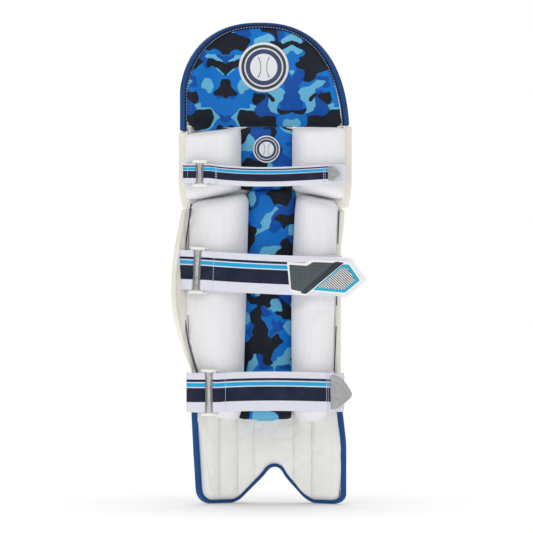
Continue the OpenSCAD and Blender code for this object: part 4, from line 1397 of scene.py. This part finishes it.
panel_rim = hat_rim(9.0)
sides = panel_rim[(panel_rim[:, 1] > hat_seam(panel_rim[:, 0]) + 2)]
foot_x = np.linspace(sides[-1, 0], sides[0, 0], 70)
panel_rim = np.concatenate([sides, np.stack([foot_x, hat_seam(foot_x)], 1)])
panel_rim = even(panel_rim.tolist() + [panel_rim[0]], 3.5)[:-1]
mid = np.array([-4.0, 606.0])
shares = np.linspace(0, 1, 30)[1:] ** 0.8
front, back = [], []
for s in shares:
    flat = mid + (panel_rim - mid) * s
    reach = np.linalg.norm(panel_rim - mid, axis=1) * (1 - s)
    thick = wall(np.degrees(flat[:, 0] / hat_out), hat_t, knee_wrap)
    depth = thinned(thick, reach + 1.5 + 30 * (flat[:, 1] < 560))
    depth = depth + 9.5 * np.clip((556.5 - flat[:, 1]) / 6, 0, 1)
    x, z = flat[:, 0], flat[:, 1]
    give = 0.9 * ripples(x, 0 * x, z, 45, 12) + 0.3 * ripples(x, 0 * x, z, 12, 15)
    front.append(on_hat(flat[:, 0], depth + give + 0.3, flat[:, 1]))
    back.append(on_hat(flat[:, 0], depth - 2.4, flat[:, 1]))
panel = tube("top_hat_panel", np.array(back + front[::-1]), 75)
panel.data.materials.append(camouflage_finish("camouflage_folded", (0.0603, 0.0975)))
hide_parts("top_hat_lining")
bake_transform(panel)

# A pressed board stiffens the top hat between the rolls and the panel
board_rim = even(mid + (panel_rim - mid) * 0.86, 6)
rings = []
board_shares = (0.01, 0.3, 0.55, 0.78, 1.0)
for s, behind in [(s, 3.6) for s in board_shares] + [(s, 4.8) for s in board_shares[::-1]]:
    flat = mid + (board_rim - mid) * s
    thick = wall(np.degrees(flat[:, 0] / hat_out), hat_t, knee_wrap)
    rings.append(on_hat(flat[:, 0], thick - behind, flat[:, 1]))
board = tube("top_hat_board", np.array(rings), 75)
board.data.materials.append(board_finish)
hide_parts("top_hat_backing")
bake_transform(board)

t = np.degrees(outer[:, 0] / hat_out)
flat = left_of(outer)
inward = np.stack([flat[:, 0] * np.cos(np.radians(t)), -flat[:, 0] * np.sin(np.radians(t)), flat[:, 1]], 1)
rim = 0.5 * wall(t, hat_t, knee_wrap)
near, far = on_hat(outer[:, 0], rim + 2.2, outer[:, 1]), on_hat(outer[:, 0], 0 * rim + 0.8, outer[:, 1])
hat_binding = tape("top_hat_binding_tape", near, far, inward, 10.2, square=0.5, wave=0.4, seed=9)
smoother(hat_binding)
hat_blue = binding_finish("hat_binding_blue", tint(8, 76, 140), tint(6, 54, 104), tint(16, 28, 66), 0.26)
hat_binding.data.materials.append(hat_blue)
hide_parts("top_hat_binding")
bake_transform(hat_binding)
seam_line = near + inward * 6.9 - np.array([0, 0.5, 0])
hat_stitches = sewn("top_hat_binding_stitches", [seam_line], pale_thread, 4.4, 2.2, 0.4)
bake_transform(hat_stitches)


# ---- Rubber badges ----
# Round moulded rubber badges are sewn to the top hat's panel and to the knee bolster. They carry
# plain rings and a ball with a stitched seam, and no lettering.
def badge_finish(name, stops):
    """Moulded rubber in rings of colour from the rim inwards."""
    made, tree, shader = finish(name, 0.4, specular=0.5)
    colours = banded(tree, mark(tree, "inward"), stops)
    grain = add(tree, "TexNoise", None, place_on(tree), Scale=500, Detail=3)
    cover = blended(tree, sums(tree, "MULTIPLY", grain, 0.15), colours, tint(150, 156, 164))
    tree.links.new(cover, shader.inputs["Base Color"])
    raised(tree, shader, grain, 0.0001, 0.4)
    return made


ring_relief = [(0.0, 0.3), (0.02, 1.6), (0.04, 2.0), (0.095, 2.05), (0.11, 1.5), (0.21, 1.4), (0.225, 2.0),
               (0.27, 2.05), (0.285, 1.3), (0.45, 1.4), (0.46, 1.7), (0.7, 2.2), (1.0, 2.4)]
badge_colours = [(0.0, tint(226, 229, 233)), (0.102, tint(20, 24, 34)), (0.218, tint(226, 229, 233)),
                 (0.278, tint(22, 46, 92)), (0.455, tint(232, 234, 238))]
dark_lines = flat_finish("badge_seam_dark", tint(22, 30, 48), tint(30, 40, 60), 0.45)


def on_panel(x, z):
    """Y of the top hat's panel under its badge."""
    t = np.degrees(np.arcsin(x / 129.5))
    return centre_y + (hat_out - wall(t, hat_t, knee_wrap)) * np.cos(np.radians(t)) - 0.6


def on_bolster(x, z):
    """Y of the knee bolster under its badge."""
    return 0 * x + strip_y + 1.2


for node, radius, mid, lie, body in (("top_hat_badge", 37, (-4.0, 643.0), on_panel, "top_hat"),
                                     ("knee_badge", 20, (0.0, 521.0), on_bolster, "shin_guard")):
    name = f"{node}_moulding"
    small = radius / 37
    circle = turn(mid, radius, 0, 355, 72)
    rise = [(s, h * (0.6 + 0.4 * small)) for s, h in ring_relief]
    badge = plate(name, None, circle, 0.0, rise, centre=mid, step=1.6 * small + 0.6, soften=0, bend=lie)
    badge.data.materials.append(badge_finish(name, badge_colours))
    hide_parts(node)
    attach(badge, body)
    seams = []
    for way in (-1, 1):
        a = np.linspace(-0.95, 0.95, 26)
        x = mid[0] + way * radius * (0.34 - 0.22 * np.cos(a))
        z = mid[1] + radius * 0.46 * np.sin(a)
        seams.append(np.stack([x, lie(x, z) - 2.35 * (0.6 + 0.4 * small), z], 1))
    seam_stitches = sewn(f"{name}_ball_seam", seams, dark_lines, 2.6 * small + 0.5, 1.6 * small + 0.4,
                         0.55 * small + 0.1)
    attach(seam_stitches, body)
